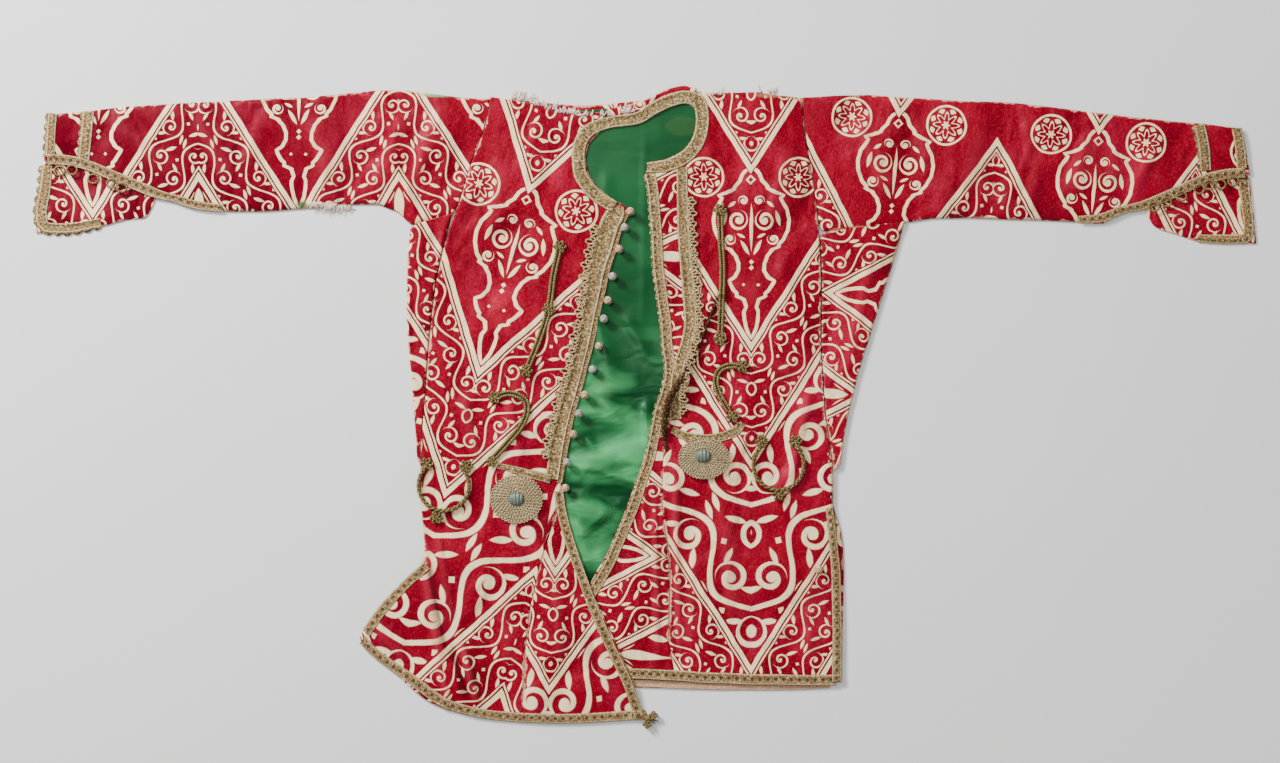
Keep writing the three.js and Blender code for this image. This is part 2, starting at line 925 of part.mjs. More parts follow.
// Cords sewn down side by side along a line, with a knotted floret at each of its knots.
function cordwork({ line, knots, cords, on }) {
  const path = line.map(([x, y]) => {
    const rest = restingHeight(on, x, y, 3 * CORD_RADIUS) + GAP + CORD_RADIUS;
    return new THREE.Vector3(x, y, rest);
  });
  const highest = Math.max(...path.map((point) => point.z));
  const curve = new THREE.CatmullRomCurve3(path.map((point) => point.setZ(highest)));
  const width = cords * CORD_RADIUS;
  const section = new THREE.Shape();
  const sides = 6;
  for (let i = 0; i < sides; i += 1) {
    const angle = (2 * Math.PI * i) / sides;
    const point = [CORD_RADIUS * Math.cos(angle), width * Math.sin(angle)];
    if (i === 0) {
      section.moveTo(...point);
    } else {
      section.lineTo(...point);
    }
  }
  section.closePath();
  const cord = new THREE.ExtrudeGeometry(section, {
    steps: Math.round(curve.getLength() / 11),
    bevelEnabled: false,
    extrudePath: curve,
  });
  const florets = knots.map(([x, y, radius]) => {
    const rest = restingHeight(on, x, y, radius) + GAP;
    const z = Math.max(rest, highest - CORD_RADIUS);
    return lobedDisc({ x, y, z, radius, lobes: 6, height: 2.4 * CORD_RADIUS });
  });
  return { geometry: union([cord, ...florets]) };
}

function ringLine([x, y]) {
  const steps = 12;
  return Array.from({ length: steps + 1 }, (_, i) => {
    const turn = Math.PI / 2 + RING_OPENING + ((2 * Math.PI - 2 * RING_OPENING) * i) / steps;
    return [x + RING_RADIUS * Math.cos(turn), y + RING_RADIUS * Math.sin(turn)];
  });
}

// A corded rosette: a broad lobed disc with a smaller one on it.
function rosette([x, y, radius, stretch], on) {
  const z = restingHeight(on, x, y, radius) + GAP;
  const broad = lobedDisc({ x: 0, y: 0, z, radius, lobes: 10, height: 3, depth: 0.16 });
  const small = lobedDisc({
    x: 0,
    y: 0,
    z: z + 2,
    radius: radius * 0.68,
    lobes: 8,
    height: 2.6,
    depth: 0.14,
  });
  const geometry = union([broad, small]).scale(1, stretch, 1).translate(x, y, 0);
  return { geometry, topHeight: z + 4.6 };
}

function turned(profile, segments) {
  const points = profile.map(([radius, height]) => new THREE.Vector2(radius, height));
  const geometry = new THREE.LatheGeometry(points, segments);
  geometry.rotateX(Math.PI / 2);
  return geometry;
}

// The oval boss in the middle of a rosette.
function boss(centre, z) {
  const geometry = turned([[0, 0], [9, 0], [10, 1.4], [8.4, 4], [4.4, 5.6], [0, 6]], 16);
  geometry.scale(1, 0.82, 1);
  geometry.translate(centre[4], centre[5], z + GAP);
  return { geometry };
}

// A ball button on its short shank.
function button([x, y], on) {
  const r = BUTTON_RADIUS;
  const profile = [
    [0, 0],
    [2.4, 0],
    [2.4, 1],
    [0.85 * r, 0.5 * r],
    [r, r],
    [0.85 * r, 1.5 * r],
    [0.45 * r, 1.92 * r],
    [0, 2 * r],
  ];
  const geometry = turned(profile, 8);
  geometry.translate(x, y, restingHeight(on, x, y, r) + GAP);
  return { geometry };
}

// A knot and a short tuft of thread lying on the surface.
function tassel([x, y]) {
  const profile = [[0, 0], [2.2, 0.6], [4.6, 4], [3, 8], [3.4, 9.4], [5.2, 16], [0, 16.4]];
  const points = profile.map(([radius, length]) => new THREE.Vector2(radius, length));
  const geometry = new THREE.LatheGeometry(points, 12);
  geometry.rotateZ(-2.3);
  geometry.translate(x, y, 5.3);
  return { geometry };
}

// ---------------------------------------------------------------- laying the robe out

const seamRows = (side) =>
  SEAMS.map(([level, leftSeam, rightSeam], i) => {
    const [leftX, leftY, rightX, rightY] = OPENING[i];
    return side === "left"
      ? [leftSeam, level, leftX, leftY, i === 0 ? 3 : 0]
      : [rightX, rightY, rightSeam, level, 0];
  });
const openingLeft = OPENING.map((row) => [row[0], row[1]]);
const edgeOfRight = GORE_RIGHT.map((row) => [row[0], row[1]]);

// Where nothing shows between the fronts the lining lies flat; elsewhere its folds may stand.
function opening(x, y) {
  const left = xAtLevel(openingLeft, y);
  const right = xAtLevel(edgeOfRight, y);
  return smoothstep(14, 30, x - left) * smoothstep(14, 30, right - x);
}

// The left front lies on the back, climbs over the edge of the right front, and drops to the
// surface where it reaches beyond the back.
function underLeft(x, y) {
  const beyond = Math.max(-284 - x, -349 - y);
  const level = 1 - smoothstep(0, 30, beyond);
  const overlap = smoothstep(-48, -9, x - xAtLevel(edgeOfRight, y));
  return level * (FRONT_BASE + OVERLAP_RISE * overlap);
}

// The slack of the right front stands above the line of the tuck and dies away from it.
function tuckHeight(x, y) {
  const { distance, along, side } = nearest(TUCK_LINE, x, y);
  const signed = -side * distance;
  const ends = smoothstep(0, 0.2, along) * (1 - smoothstep(0.85, 1, along));
  return TUCK_RISE * ends * smoothstep(-5, 4, signed) * (1 - smoothstep(20, 90, signed));
}

const crownHeight = (height, across, down) =>
  height * Math.sin(Math.PI * across) * Math.sin(Math.PI * down);

const back = panel({
  rows: [
    ...SEAMS.map(([level, left, right], i) => [left, level, right, level, i ? 0 : BACK_NECK_SAG]),
    ...BACK_SKIRT,
  ],
  stations: evenly(3),
  under: () => 0,
  thickness: CLOTH,
});

const liningBack = panel({
  rows: [
    ...SEAMS.map(([level, left, right], i) => [left + 8, level - 6, right - 8, level - 6, i ? 0 : 6]),
    ...BACK_SKIRT.map(([left, y, right]) => [left + 8, y + 20, right - 8, y + 20, 0]),
  ],
  stations: LINING_STATIONS,
  under: (x, y) => LINING_BASE + foldHeight(FOLDS_LINING, x, y) * opening(x, y),
  thickness: LINING,
});

const frontLeft = panel({
  rows: [...seamRows("left"), ...FRONT_LEFT_SKIRT],
  stations: evenly(9),
  under: (x, y, across, down) =>
    underLeft(x, y) + foldHeight(FOLDS_FRONT_LEFT, x, y) + crownHeight(1.2, across, down),
  thickness: CLOTH,
});

const goreLeft = panel({
  rows: GORE_LEFT,
  stations: evenly(5),
  under: underLeft,
  thickness: CLOTH,
});

const frontRight = panel({
  rows: [...seamRows("right"), ...FRONT_RIGHT_SKIRT],
  stations: evenly(11),
  under: (x, y, across, down) =>
    FRONT_BASE + tuckHeight(x, y) + foldHeight(FOLDS_FRONT_RIGHT, x, y)
    + crownHeight(1.2, across, down),
  thickness: CLOTH,
});

const goreRight = panel({
  rows: GORE_RIGHT,
  stations: evenly(4),
  under: (x, y) => FRONT_BASE + tuckHeight(x, y) + foldHeight(FOLDS_GORE_RIGHT, x, y),
  thickness: CLOTH,
});

const backNeck = panel({
  rows: BACK_NECK,
  stations: evenly(2),
  under: () => FRONT_BASE,
  thickness: CLOTH,
});

const sideGoreLeft = foldedGore(SIDE_GORE_LEFT);
const sideGoreRight = foldedGore(SIDE_GORE_RIGHT);
const sleeveLeft = sleeve({
  rings: SLEEVE_LEFT,
  seam: armhole(1, ARMHOLE_LEFT_END, -GAP),
  folds: FOLDS_SLEEVE_LEFT,
});
const sleeveRight = sleeve({
  rings: SLEEVE_RIGHT,
  seam: armhole(2, ARMHOLE_RIGHT_END, GAP),
  folds: FOLDS_SLEEVE_RIGHT,
});
const cuffFlap = (rows) => panel({ rows, stations: evenly(4), under: () => 0, thickness: CLOTH });
const cuffFlapLeft = cuffFlap(CUFF_FLAP_LEFT);
const cuffFlapRight = cuffFlap(CUFF_FLAP_RIGHT);

const rightSide = [frontRight, goreRight];
const leftSide = [frontLeft, goreLeft];
const edgeRight = ribbon({ path: EDGE_RIGHT, thickness: LACE, on: rightSide });
const hemRight = ribbon({ path: HEM_RIGHT, thickness: LACE, on: [...rightSide, edgeRight] });
const bandLeft = ribbon({ path: BAND_LEFT, on: leftSide });
const bandRight = ribbon({ path: BAND_RIGHT, on: rightSide });
const edgeLeft = ribbon({ path: EDGE_LEFT, thickness: LACE, on: leftSide });
const skirtLeft = ribbon({ path: SKIRT_LEFT, thickness: LACE, on: [...leftSide, ...rightSide] });
const rosetteLeft = rosette(ROSETTE_LEFT, leftSide);
const rosetteRight = rosette(ROSETTE_RIGHT, rightSide);

// Columns: name, piece, colour, roughness, metalness.
const pieces = [
  ["back", back, DEEP_RED, 0.6, 0],
  ["lining_back", liningBack, GREEN, 0.35, 0],
  ["front_left", frontLeft, RED, 0.55, 0],
  ["front_left_gore", goreLeft, RED, 0.55, 0],
  ["front_right", frontRight, RED, 0.55, 0],
  ["front_right_gore", goreRight, RED, 0.55, 0],
  ["back_neck", backNeck, DEEP_RED, 0.6, 0],
  ["side_gore_left", sideGoreLeft, RED, 0.55, 0],
  ["side_gore_right", sideGoreRight, RED, 0.55, 0],
  ["sleeve_left", sleeveLeft, RED, 0.55, 0],
  ["sleeve_right", sleeveRight, RED, 0.55, 0],
  ["cuff_flap_left", cuffFlapLeft, DEEP_RED, 0.6, 0],
  ["cuff_flap_right", cuffFlapRight, DEEP_RED, 0.6, 0],
  ["neck_braid", ribbon({ path: NECK_BRAID, on: [frontLeft, backNeck, ...rightSide] }), BRAID_GOLD],
  ["band_left", bandLeft, BRAID_GOLD],
  ["band_right", bandRight, BRAID_GOLD],
  ["edge_braid_left", edgeLeft, LACE_SILVER],
  ["edge_lace_right", edgeRight, LACE_SILVER],
  ["skirt_braid_left", skirtLeft, LACE_SILVER],
  ["hem_braid_left", ribbon({ path: HEM_LEFT, thickness: LACE, on: leftSide }), LACE_SILVER],
  ["vent_braid_left", ribbon({ path: VENT_LEFT, thickness: LACE, on: leftSide }), LACE_SILVER],
  ["hem_braid_right", hemRight, LACE_SILVER],
  ["vent_braid_right", ribbon({ path: VENT_RIGHT, on: [frontRight] }), BRAID_GOLD],
  ["back_hem_braid", ribbon({ path: BACK_EDGE, thickness: LACE, on: [back] }), LACE_SILVER],
  ["band_arm_left", ribbon({ path: ARM_LEFT, on: leftSide }), BRAID_GOLD],
  ["band_arm_right", ribbon({ path: ARM_RIGHT, on: rightSide }), BRAID_GOLD],
  ["cuff_braid_left", ribbon({ path: CUFF_END_LEFT, on: [sleeveLeft] }), BRAID_GOLD],
  ["slit_braid_left", ribbon({ path: SLIT_LEFT, on: [sleeveLeft] }), BRAID_GOLD],
  ["cross_braid_left", ribbon({ path: CROSS_LEFT, on: [sleeveLeft] }), BRAID_GOLD],
  ["flap_braid_left", ribbon({ path: FLAP_EDGE_LEFT, on: [cuffFlapLeft] }), BRAID_GOLD],
  ["cuff_braid_right", ribbon({ path: CUFF_END_RIGHT, on: [sleeveRight] }), BRAID_GOLD],
  ["slit_braid_right", ribbon({ path: SLIT_RIGHT, on: [sleeveRight] }), BRAID_GOLD],
  ["cross_braid_right", ribbon({ path: CROSS_RIGHT, on: [sleeveRight] }), BRAID_GOLD],
  ["flap_braid_right", ribbon({ path: FLAP_EDGE_RIGHT, on: [cuffFlapRight] }), BRAID_GOLD],
  ["rosette_left", rosetteLeft, CORD_OLIVE],
  ["rosette_right", rosetteRight, CORD_OLIVE],
  ["boss_left", boss(ROSETTE_LEFT, rosetteLeft.topHeight), BOSS_GREY],
  ["boss_right", boss(ROSETTE_RIGHT, rosetteRight.topHeight), BOSS_GREY],
  ["vent_button", button(VENT_BUTTON, [frontRight]), BUTTON_GOLD],
  ["tassel", tassel(TASSEL), BRAID_GOLD],
];

// Columns: name, line, knots, cords side by side, pieces it is sewn to.
const cordworks = [
  ["bar_left", BAR_LEFT, BAR_LEFT_KNOTS, 2, leftSide],
  ["bar_right", BAR_RIGHT, BAR_RIGHT_KNOTS, 2, rightSide],
  ["scroll_left", SCROLL_LEFT, SCROLL_LEFT_KNOTS, 2, leftSide],
  ["scroll_right", SCROLL_RIGHT, SCROLL_RIGHT_KNOTS, 2, rightSide],
  ["ring_left", ringLine(RING_LEFT_CENTRE), RING_LEFT_KNOTS, 1, leftSide],
  ["ring_right", ringLine(RING_RIGHT_CENTRE), RING_RIGHT_KNOTS, 1, rightSide],
];
for (const [name, line, knots, cords, on] of cordworks) {
  pieces.push([name, cordwork({ line, knots, cords, on }), CORD_OLIVE]);
}

const buttonRests = [liningBack, frontLeft, goreLeft, bandLeft, edgeLeft, skirtLeft];
BUTTONS.forEach((place, i) => {
  const number = String(i + 1).padStart(2, "0");
  const colour = i % 2 === 0 ? BUTTON_GOLD : BUTTON_SILVER;
  pieces.push([`button_${number}`, button(place, buttonRests), colour]);
});

const robe = new THREE.Group();
for (const [name, piece, color, roughness = 0.42, metalness = 0.35] of pieces) {
  const material = new THREE.MeshStandardMaterial({ color, roughness, metalness });
  const mesh = new THREE.Mesh(piece.geometry, material);
  mesh.name = name;
  robe.add(mesh);
}

// The robe's middle stands over the origin.
const middle = new THREE.Box3().setFromObject(robe).getCenter(new THREE.Vector3());
robe.position.set(-middle.x, -middle.y, 0);

export default robe;
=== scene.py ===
"""Dresses a robe that lies flat: figured silk, satin lining, metal braids, cordwork and buttons."""

import math
import random

import bmesh
import bpy
import numpy as np
from bpy.props import FloatProperty, FloatVectorProperty, IntProperty, PointerProperty
from mathutils import Matrix, Vector
from mathutils.bvhtree import BVHTree


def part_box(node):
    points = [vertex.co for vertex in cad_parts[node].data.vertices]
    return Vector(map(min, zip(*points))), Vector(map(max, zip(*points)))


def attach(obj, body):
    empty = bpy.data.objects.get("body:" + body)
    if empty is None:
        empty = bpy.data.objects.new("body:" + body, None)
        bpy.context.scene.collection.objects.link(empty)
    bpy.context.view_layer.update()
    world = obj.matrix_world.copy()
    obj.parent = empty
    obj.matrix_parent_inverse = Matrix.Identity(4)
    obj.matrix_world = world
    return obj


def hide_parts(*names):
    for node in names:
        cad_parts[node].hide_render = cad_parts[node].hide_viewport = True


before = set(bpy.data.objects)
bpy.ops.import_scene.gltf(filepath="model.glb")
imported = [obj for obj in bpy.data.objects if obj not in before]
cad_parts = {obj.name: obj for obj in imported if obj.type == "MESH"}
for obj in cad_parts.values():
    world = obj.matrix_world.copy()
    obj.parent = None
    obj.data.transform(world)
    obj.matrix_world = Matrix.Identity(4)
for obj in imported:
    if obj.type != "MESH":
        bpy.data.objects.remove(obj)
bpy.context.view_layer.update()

bl_info = {
    "name": "Braided Silk Robe",
    "version": (1, 0, 0),
    "blender": (4, 5, 0),
    "location": "3D View > Sidebar > Robe",
    "description":
        "Makes a front-opening silk robe with braid, cordwork and ball buttons, laid flat",
    "category": "Add Mesh",
}

MM = 0.001
# How far the frame's origin stands from the one that the tables below are measured from, in mm.
SHIFT = (0.0, -0.63)


# ---------------------------------------------------------------- sizes and colours

def size(name, description, default_mm, low=0.05, high=400.0):
    """A length that a user may change, kept in metres."""
    return FloatProperty(
        name=name, description=description, default=default_mm * MM,
        min=low * MM, max=high * MM, unit="LENGTH",
    )


def colour(name, description, red, green, blue):
    """A colour that a user may change, given as it looks on a screen, from 0 to 255."""
    linear = []
    for value in (red / 255, green / 255, blue / 255):
        linear.append(value / 12.92 if value <= 0.04045 else ((value + 0.055) / 1.055) ** 2.4)
    return FloatVectorProperty(
        name=name, description=description, default=linear, size=3, min=0, max=1, subtype="COLOR",
    )


class RobeSizes(bpy.types.PropertyGroup):
    """Sizes of the cloth, the ornament and the trimmings."""

    cloth: size("Cloth", "Thickness of a silk panel with its interlining", 1.2)
    pitch: size("Cloth grid", "Spacing of the points that the cloth bends at", 3.6)
    chevron: size("Chevron width", "Width of one full zigzag of the ornament", 250)
    chevron_line: size("Chevron line", "Width of the broad line along each zigzag", 5.6)
    scroll: size("Scroll", "Height of one row of scrollwork in the narrow bands", 24.6)
    braid: size("Braid", "Thickness of the broad braids", 1.0)
    cord: size("Cord", "Radius of one strand of the sewn-down cords", 1.5)
    button: size("Button", "Radius of a ball button", 5.2)
    wrinkles: IntProperty(
        name="Small wrinkles", description="Soft wrinkles on each large panel", default=34,
        min=0, max=200,
    )


class RobeColours(bpy.types.PropertyGroup):
    """Colours of the silks, the lining and the metal threads."""

    red: colour("Red silk", "Ground of the figured silk", 148, 2, 32)
    red_deep: colour("Deep red silk", "The ground where it is darkest", 108, 1, 18)
    # Also the painted highlight along the ridges of the creases.
    red_worn_and_lit: colour("Worn silk", "The ground where it has rubbed pale", 188, 52, 72)
    cream: colour("Cream silk", "Figures woven into the ground", 255, 232, 180)
    cream_worn: colour("Worn cream", "Figures where their thread has thinned", 226, 168, 140)
    green: colour("Green satin", "The lining", 15, 78, 38)
    green_deep: colour("Deep green satin", "The lining where it is darkest", 5, 52, 22)
    # Painted highlight on the lining's creases; the silk also takes it for a sliver of lining.
    green_sheen: colour("Light green satin", "The lining on its folds", 78, 172, 106)
    gold: colour("Gold thread", "The warm thread of the braids", 136, 102, 46)
    silver: colour("Silver thread", "The pale thread of the braids", 134, 120, 72)
    tarnish: colour("Tarnish", "The braids where they have darkened", 66, 46, 22)
    bright: colour("Bright thread", "Threads of the braids that still shine", 238, 212, 158)
    copper: colour("Copper thread", "Reddish thread of the braids", 158, 84, 44)
    verdigris: colour("Green tarnish", "The greenish tinge of the oldest cords", 96, 100, 56)
    dot: colour("Dots", "Dark spots of the braids", 52, 38, 24)


# ---------------------------------------------------------------- the cut, in millimetres

# How the woven ornament lies on each piece.
# Columns: x and y of the point of the first chevron, its turn in degrees, its size.
ORNAMENT = {
    "back": (0, 304, 0, 1.0),
    "back_neck": (-40, 470, 4, 1.0),
    "front_left": (-143, 279, -15.5, 1.07),
    "front_left_gore": (-101, 22, -3, 1.0),
    "front_right": (132, 304, 0, 1.0),
    "front_right_gore": (-213, -165, 85, 1.0),
    "side_gore_left": (-219, 367, 0, 1.0),
    "side_gore_right": (454, 125, -95, 1.0),
    "sleeve_left": (-433, 467, 0, 1.0),
    "sleeve_right": (318, 374, -5, 1.0),
    "cuff_flap_left": (-691, 470, 0, 1.0),
    "cuff_flap_right": (770, 440, -6, 1.0),
}

# The largest creases of each piece.
# Columns: x and y of one end, x and y of the other, half width, height (below nought, a trough).
CREASES = {
    "front_left": [
        (-251, -330, -278, -150, 4.6, 5.4),
        (-238, -270, -260, -150, 4, 2.2),
        (-243, -290, -222, -368, 4.5, -1.8),
        (-206, -370, -232, -282, 4.6, 5.0),
        (-238, -366, -262, -310, 4.4, 3.0),
        (-178, 318, -198, 215, 9, 2.1),
        (-206, -70, -228, 20, 7, 2.6),
        (-150, 60, -182, -40, 8, 1.5),
        (-338, -268, -296, -318, 7, 1.9),
        (-180, -232, -172, -330, 8, 1.7),
    ],
    "front_left_gore": [(-120, -170, -104, -330, 7, 1.9), (-64, -250, -50, -360, 6, 1.5)],
    "front_right": [
        (178, 330, 152, 226, 9, 2.3),
        (112, 292, 96, 226, 7, -1.1),
        (178, -100, 206, 26, 7, 2.8),
        (98, -126, 106, -270, 10, 2.3),
        (206, -186, 200, -320, 8, 1.9),
        (150, 60, 205, 30, 8, 1.3),
        (60, -170, 52, -300, 7, 1.5),
        (42, -320, 38, -60, 4.6, 4.0),
    ],
    "front_right_gore": [
        (10, 260, 24, 130, 4, 1.7), (2, -90, -10, -190, 5, 1.7), (16, -320, 12, -90, 4.2, 2.8),
    ],
    "side_gore_left": [(-288, 180, -284, 60, 4, 1.1)],
    "side_gore_right": [(286, 210, 246, 40, 7, 1.7), (250, 206, 236, 80, 6, 1.5)],
    "sleeve_left": [
        (-300, 376, -344, 270, 10, 2.7),
        (-262, 372, -300, 262, 8, 2.3),
        (-420, 366, -398, 276, 10, 1.9),
        (-560, 362, -522, 280, 11, 2.1),
        (-480, 370, -506, 300, 8, 1.5),
        (-640, 350, -612, 296, 8, 1.7),
    ],
    "sleeve_right": [
        (262, 372, 300, 262, 10, 2.7),
        (420, 360, 392, 262, 10, 1.9),
        (330, 380, 352, 300, 8, 1.7),
        (560, 352, 520, 256, 11, 2.1),
        (470, 366, 486, 290, 8, 1.5),
        (640, 340, 612, 282, 8, 1.7),
    ],
    "lining_back": [
        (-88, -70, -4, -95, 4, 3.8),
        (0, 14, 2, -58, 5, 3.8),
        (-88, -166, -20, -109, 3, 3.0),
        (-2, 354, -4, 98, 5, 0.9),
        (-62, 20, -20, -36, 7, 3.0),
        (-70, 150, -44, 40, 8, 2.7),
        (-90, -10, -60, -60, 6, 2.7),
        (-96, -110, -40, -140, 6, 3.0),
        (-30, 120, 4, 60, 7, 2.3),
        (-60, -180, -44, -214, 5, 1.9),
        (-50, 300, -56, 210, 8, 1.9),
        (18, 280, 14, 160, 6, 1.9),
        (-86, -128, -72, -188, 5, 2.3),
        (-36, -60, 0, -74, 6, 2.5),
    ],
}

# The shaded sides of the skirt's sharpest folds.
# Columns: x and y of one end, x and y of the other.
FOLD_SHADES = [(-274, -186, -247, -312), (-247, -298, -219, -366), (23, -112, 38, -324)]

# Cloth pieces. Columns: direction the slices step in (0 is along x, 1 along y), folded double,
# pieces they lie on, slot, small wrinkles (None for as many as are set).
CLOTH = {
    "back": (1, False, ["floor"], "deep_red_silk", 0),
    "back_neck": (0, False, ["cloth_lining_back"], "deep_red_silk", 2),
    "front_right_gore": (1, False, ["cloth_lining_back"], "red_silk", 12),
    "front_right": (1, False, ["cloth_lining_back"], "red_silk", None),
    "front_left_gore": (1, False, ["cloth_front_right_gore", "cloth_lining_back"], "red_silk", 10),
    "front_left": (1, False, ["cloth_lining_back", "cloth_front_left_gore"], "red_silk", None),
    "side_gore_left": (1, True, ["floor"], "red_silk", 8),
    "side_gore_right": (1, True, ["floor"], "red_silk", 14),
    "sleeve_left": (0, True, ["floor"], "red_silk", None),
    "sleeve_right": (0, True, ["floor"], "red_silk", None),
    "cuff_flap_left": (0, False, ["floor"], "deep_red_silk", 6),
    "cuff_flap_right": (0, False, ["floor"], "deep_red_silk", 6),
}

# Where the edges of the laid cloth stray from the straight cut.
# Columns: x and y of the middle, how far the cloth is drawn along x and y, reach along x and y.
PULLS = [
    (142, 393, 0, 6, 48, 40),
    (-78, 384, 0, -8, 62, 18),
    (-750, 300, 5, 0, 14, 90),
    (-592, 255, 0, 4, 20, 12),
    (598, 241, 0, 4, 20, 12),
    (-318, -250, -7, 4, 60, 45),
    (-330, -300, -3, -3, 40, 40),
    (-268, -362, -4, -4, 60, 30),
    (262, 0, 3, 0, 24, 60),
    (243, -70, 4, 0, 24, 40),
    (312, 200, 3, 0, 30, 60),
    (120, -345, 0, -2, 110, 24),
]

# How far a piece runs on under the one sewn over its edge, in mm: past its last slice, and past
# the end of every slice.
LAPS = {
    "back_neck": (0, 5),
    "front_left": (3, 0),
    "side_gore_left": (7, 0),
    "side_gore_right": (5, 0),
    "cuff_flap_left": (0, 5),
    "cuff_flap_right": (0, 5),
}

# Braids and laces. Each has its kind, the side its picots stand on (1 is left of its course,
# -1 right, 0 none), their reach and pitch in mm, the cloth it is sewn to, and its course.
# Columns of a course: x, y, width.
BRAIDS = {
    "back_hem_braid": ("plain", 0, 0, 1, ["back"], [
        (-57, -342, 9), (-7, -343, 9), (93, -345, 9), (193, -346, 8), (231, -345, 7)]),
    "edge_lace_right": ("lace", -1, 2.6, 10, ["front_right_gore"], [
        (5, 294, 13), (10, 273, 13), (14, 223, 13), (16, 183, 13), (21, 139, 13), (26, 106, 13),
        (28, 78, 13), (31, 56, 13), (30, 39, 12), (25, 17, 12), (19, 1, 12), (11, -36, 12),
        (5, -64, 12), (-3, -89, 12), (-12, -116, 12), (-26, -151, 12), (-41, -186, 12),
        (-58, -216, 12), (-80, -252, 12), (-96, -289, 12), (-107, -318, 12)]),
    "hem_braid_right": ("dotted", 0, 0, 1, ["front_right", "front_right_gore"], [
        (-77, -329, 12), (-7, -331, 13), (37, -333, 13), (118, -336, 13), (193, -338, 13),
        (238, -338, 13)]),
    "vent_braid_right": ("dotted", 0, 0, 1, ["front_right"], [
        (239, -341, 12), (239, -296, 12), (239, -252, 12), (238, -209, 12), (235, -176, 11),
        (232, -147, 10), (229, -124, 9)]),
    "band_right": ("broad", 0, 0, 1, ["front_right", "front_right_gore"], [
        (46, 302, 14), (46, 273, 14), (47, 239, 15), (49, 200, 15), (51, 170, 15), (54, 139, 16),
        (56, 110, 16), (53, 88, 15), (46, 66, 14), (39, 41, 13), (37, 17, 13), (36, -2, 14),
        (38, -14, 16)]),
    "band_arm_right": ("broad", 0, 0, 1, ["front_right", "front_right_gore"], [
        (33, -26, 9), (50, -34, 11), (78, -38, 12), (100, -34, 12), (114, -26, 12),
        (122, -18, 8)]),
    "hem_braid_left": ("dotted", 0, 0, 1, ["front_left", "front_left_gore"], [
        (0, -382, 12), (-20, -383, 12), (-81, -387, 12), (-131, -387, 12), (-181, -384, 12),
        (-214, -377, 12), (-246, -365, 12), (-279, -343, 12), (-312, -320, 12), (-336, -301, 12),
        (-349, -288, 12)]),
    "vent_braid_left": ("dotted", 0, 0, 1, ["front_left"], [
        (-343, -281, 12), (-326, -260, 12), (-307, -237, 12), (-290, -215, 12), (-272, -196, 12)]),
    "skirt_braid_left": ("dotted", 0, 0, 1, ["front_left", "front_left_gore"], [
        (-108, -103, 12), (-104, -133, 12), (-94, -168, 12), (-80, -209, 12), (-68, -242, 12),
        (-50, -283, 12), (-36, -313, 12), (-22, -343, 12), (-12, -373, 12), (-8, -386, 12)]),
    "edge_braid_left": ("narrow", 0, 0, 1, ["front_left"], [
        (-22, 246, 7), (-31, 228, 7), (-40, 198, 7), (-47, 176, 7), (-53, 146, 7), (-60, 117, 7),
        (-67, 86, 7), (-74, 58, 7), (-81, 29, 7), (-92, -8, 7), (-99, -43, 7), (-103, -69, 7),
        (-107, -93, 7)]),
    "band_left": ("broad", 0, 0, 1, ["front_left"], [
        (-33, 254, 14), (-38, 243, 24), (-46, 228, 25), (-54, 198, 23), (-60, 176, 21),
        (-65, 146, 18), (-71, 117, 16), (-77, 86, 15), (-84, 58, 15), (-91, 29, 15), (-102, -8, 16),
        (-110, -43, 17), (-114, -69, 17), (-117, -88, 17)]),
    "band_arm_left": ("broad", 0, 0, 1, ["front_left"], [
        (-118, -88, 12), (-137, -83, 11), (-160, -77, 9), (-184, -72, 7)]),
    "neck_braid": ("broad", 0, 0, 1, [
        "front_left", "front_right", "front_right_gore", "back_neck"], [
        (-38, 252, 14), (-48, 257, 16), (-64, 268, 17), (-79, 288, 17), (-83, 304, 17),
        (-83, 324, 17), (-78, 339, 17), (-66, 351, 17), (-42, 359, 17), (-11, 363, 17),
        (7, 374, 17), (20, 381, 17), (33, 386, 17), (48, 389, 17), (62, 386, 17), (69, 377, 17),
        (71, 358, 17), (67, 337, 17), (57, 321, 17), (44, 311, 17), (27, 304, 16), (14, 302, 15),
        (2, 301, 13)]),
    "cuff_braid_left": ("cuff", -1, 4, 12.5, ["sleeve_left"], [
        (-742, 369, 13), (-745, 346, 13), (-748, 314, 13)]),
    "cross_braid_left": ("cuff", -1, 3.4, 11, ["sleeve_left"], [
        (-696, 371, 14), (-698, 348, 14), (-701, 310, 14)]),
    "flap_braid_left": ("cuff", -1, 4, 12.5, ["cuff_flap_left"], [
        (-751, 304, 12), (-754, 273, 12), (-757, 246, 12), (-753, 229, 12), (-738, 226, 12),
        (-719, 226, 12), (-699, 229, 11), (-681, 233, 10)]),
    "slit_braid_left": ("dotted", 0, 0, 1, ["sleeve_left", "cuff_flap_left"], [
        (-752, 312, 13), (-724, 310, 13), (-697, 304, 13), (-664, 291, 13), (-631, 277, 13),
        (-601, 264, 12), (-576, 257, 11), (-553, 253, 10), (-529, 250, 9)]),
    "cuff_braid_right": ("cuff", 0, 0, 1, ["sleeve_right"], [
        (739, 350, 13), (742, 330, 13), (745, 300, 13)]),
    "cross_braid_right": ("cuff", -1, 3.4, 11, ["sleeve_right"], [
        (692, 355, 14), (697, 329, 14), (700, 297, 14)]),
    "flap_braid_right": ("cuff", 0, 0, 1, ["cuff_flap_right"], [
        (748, 288, 13), (751, 254, 13), (754, 229, 13), (751, 214, 13), (738, 212, 12),
        (718, 212, 12), (690, 213, 10)]),
    "slit_braid_right": ("dotted", 0, 0, 1, ["sleeve_right", "cuff_flap_right"], [
        (749, 295, 13), (724, 293, 13), (703, 288, 13), (676, 277, 13), (649, 265, 13),
        (621, 254, 12), (593, 245, 12), (568, 238, 11), (541, 236, 9)]),
}
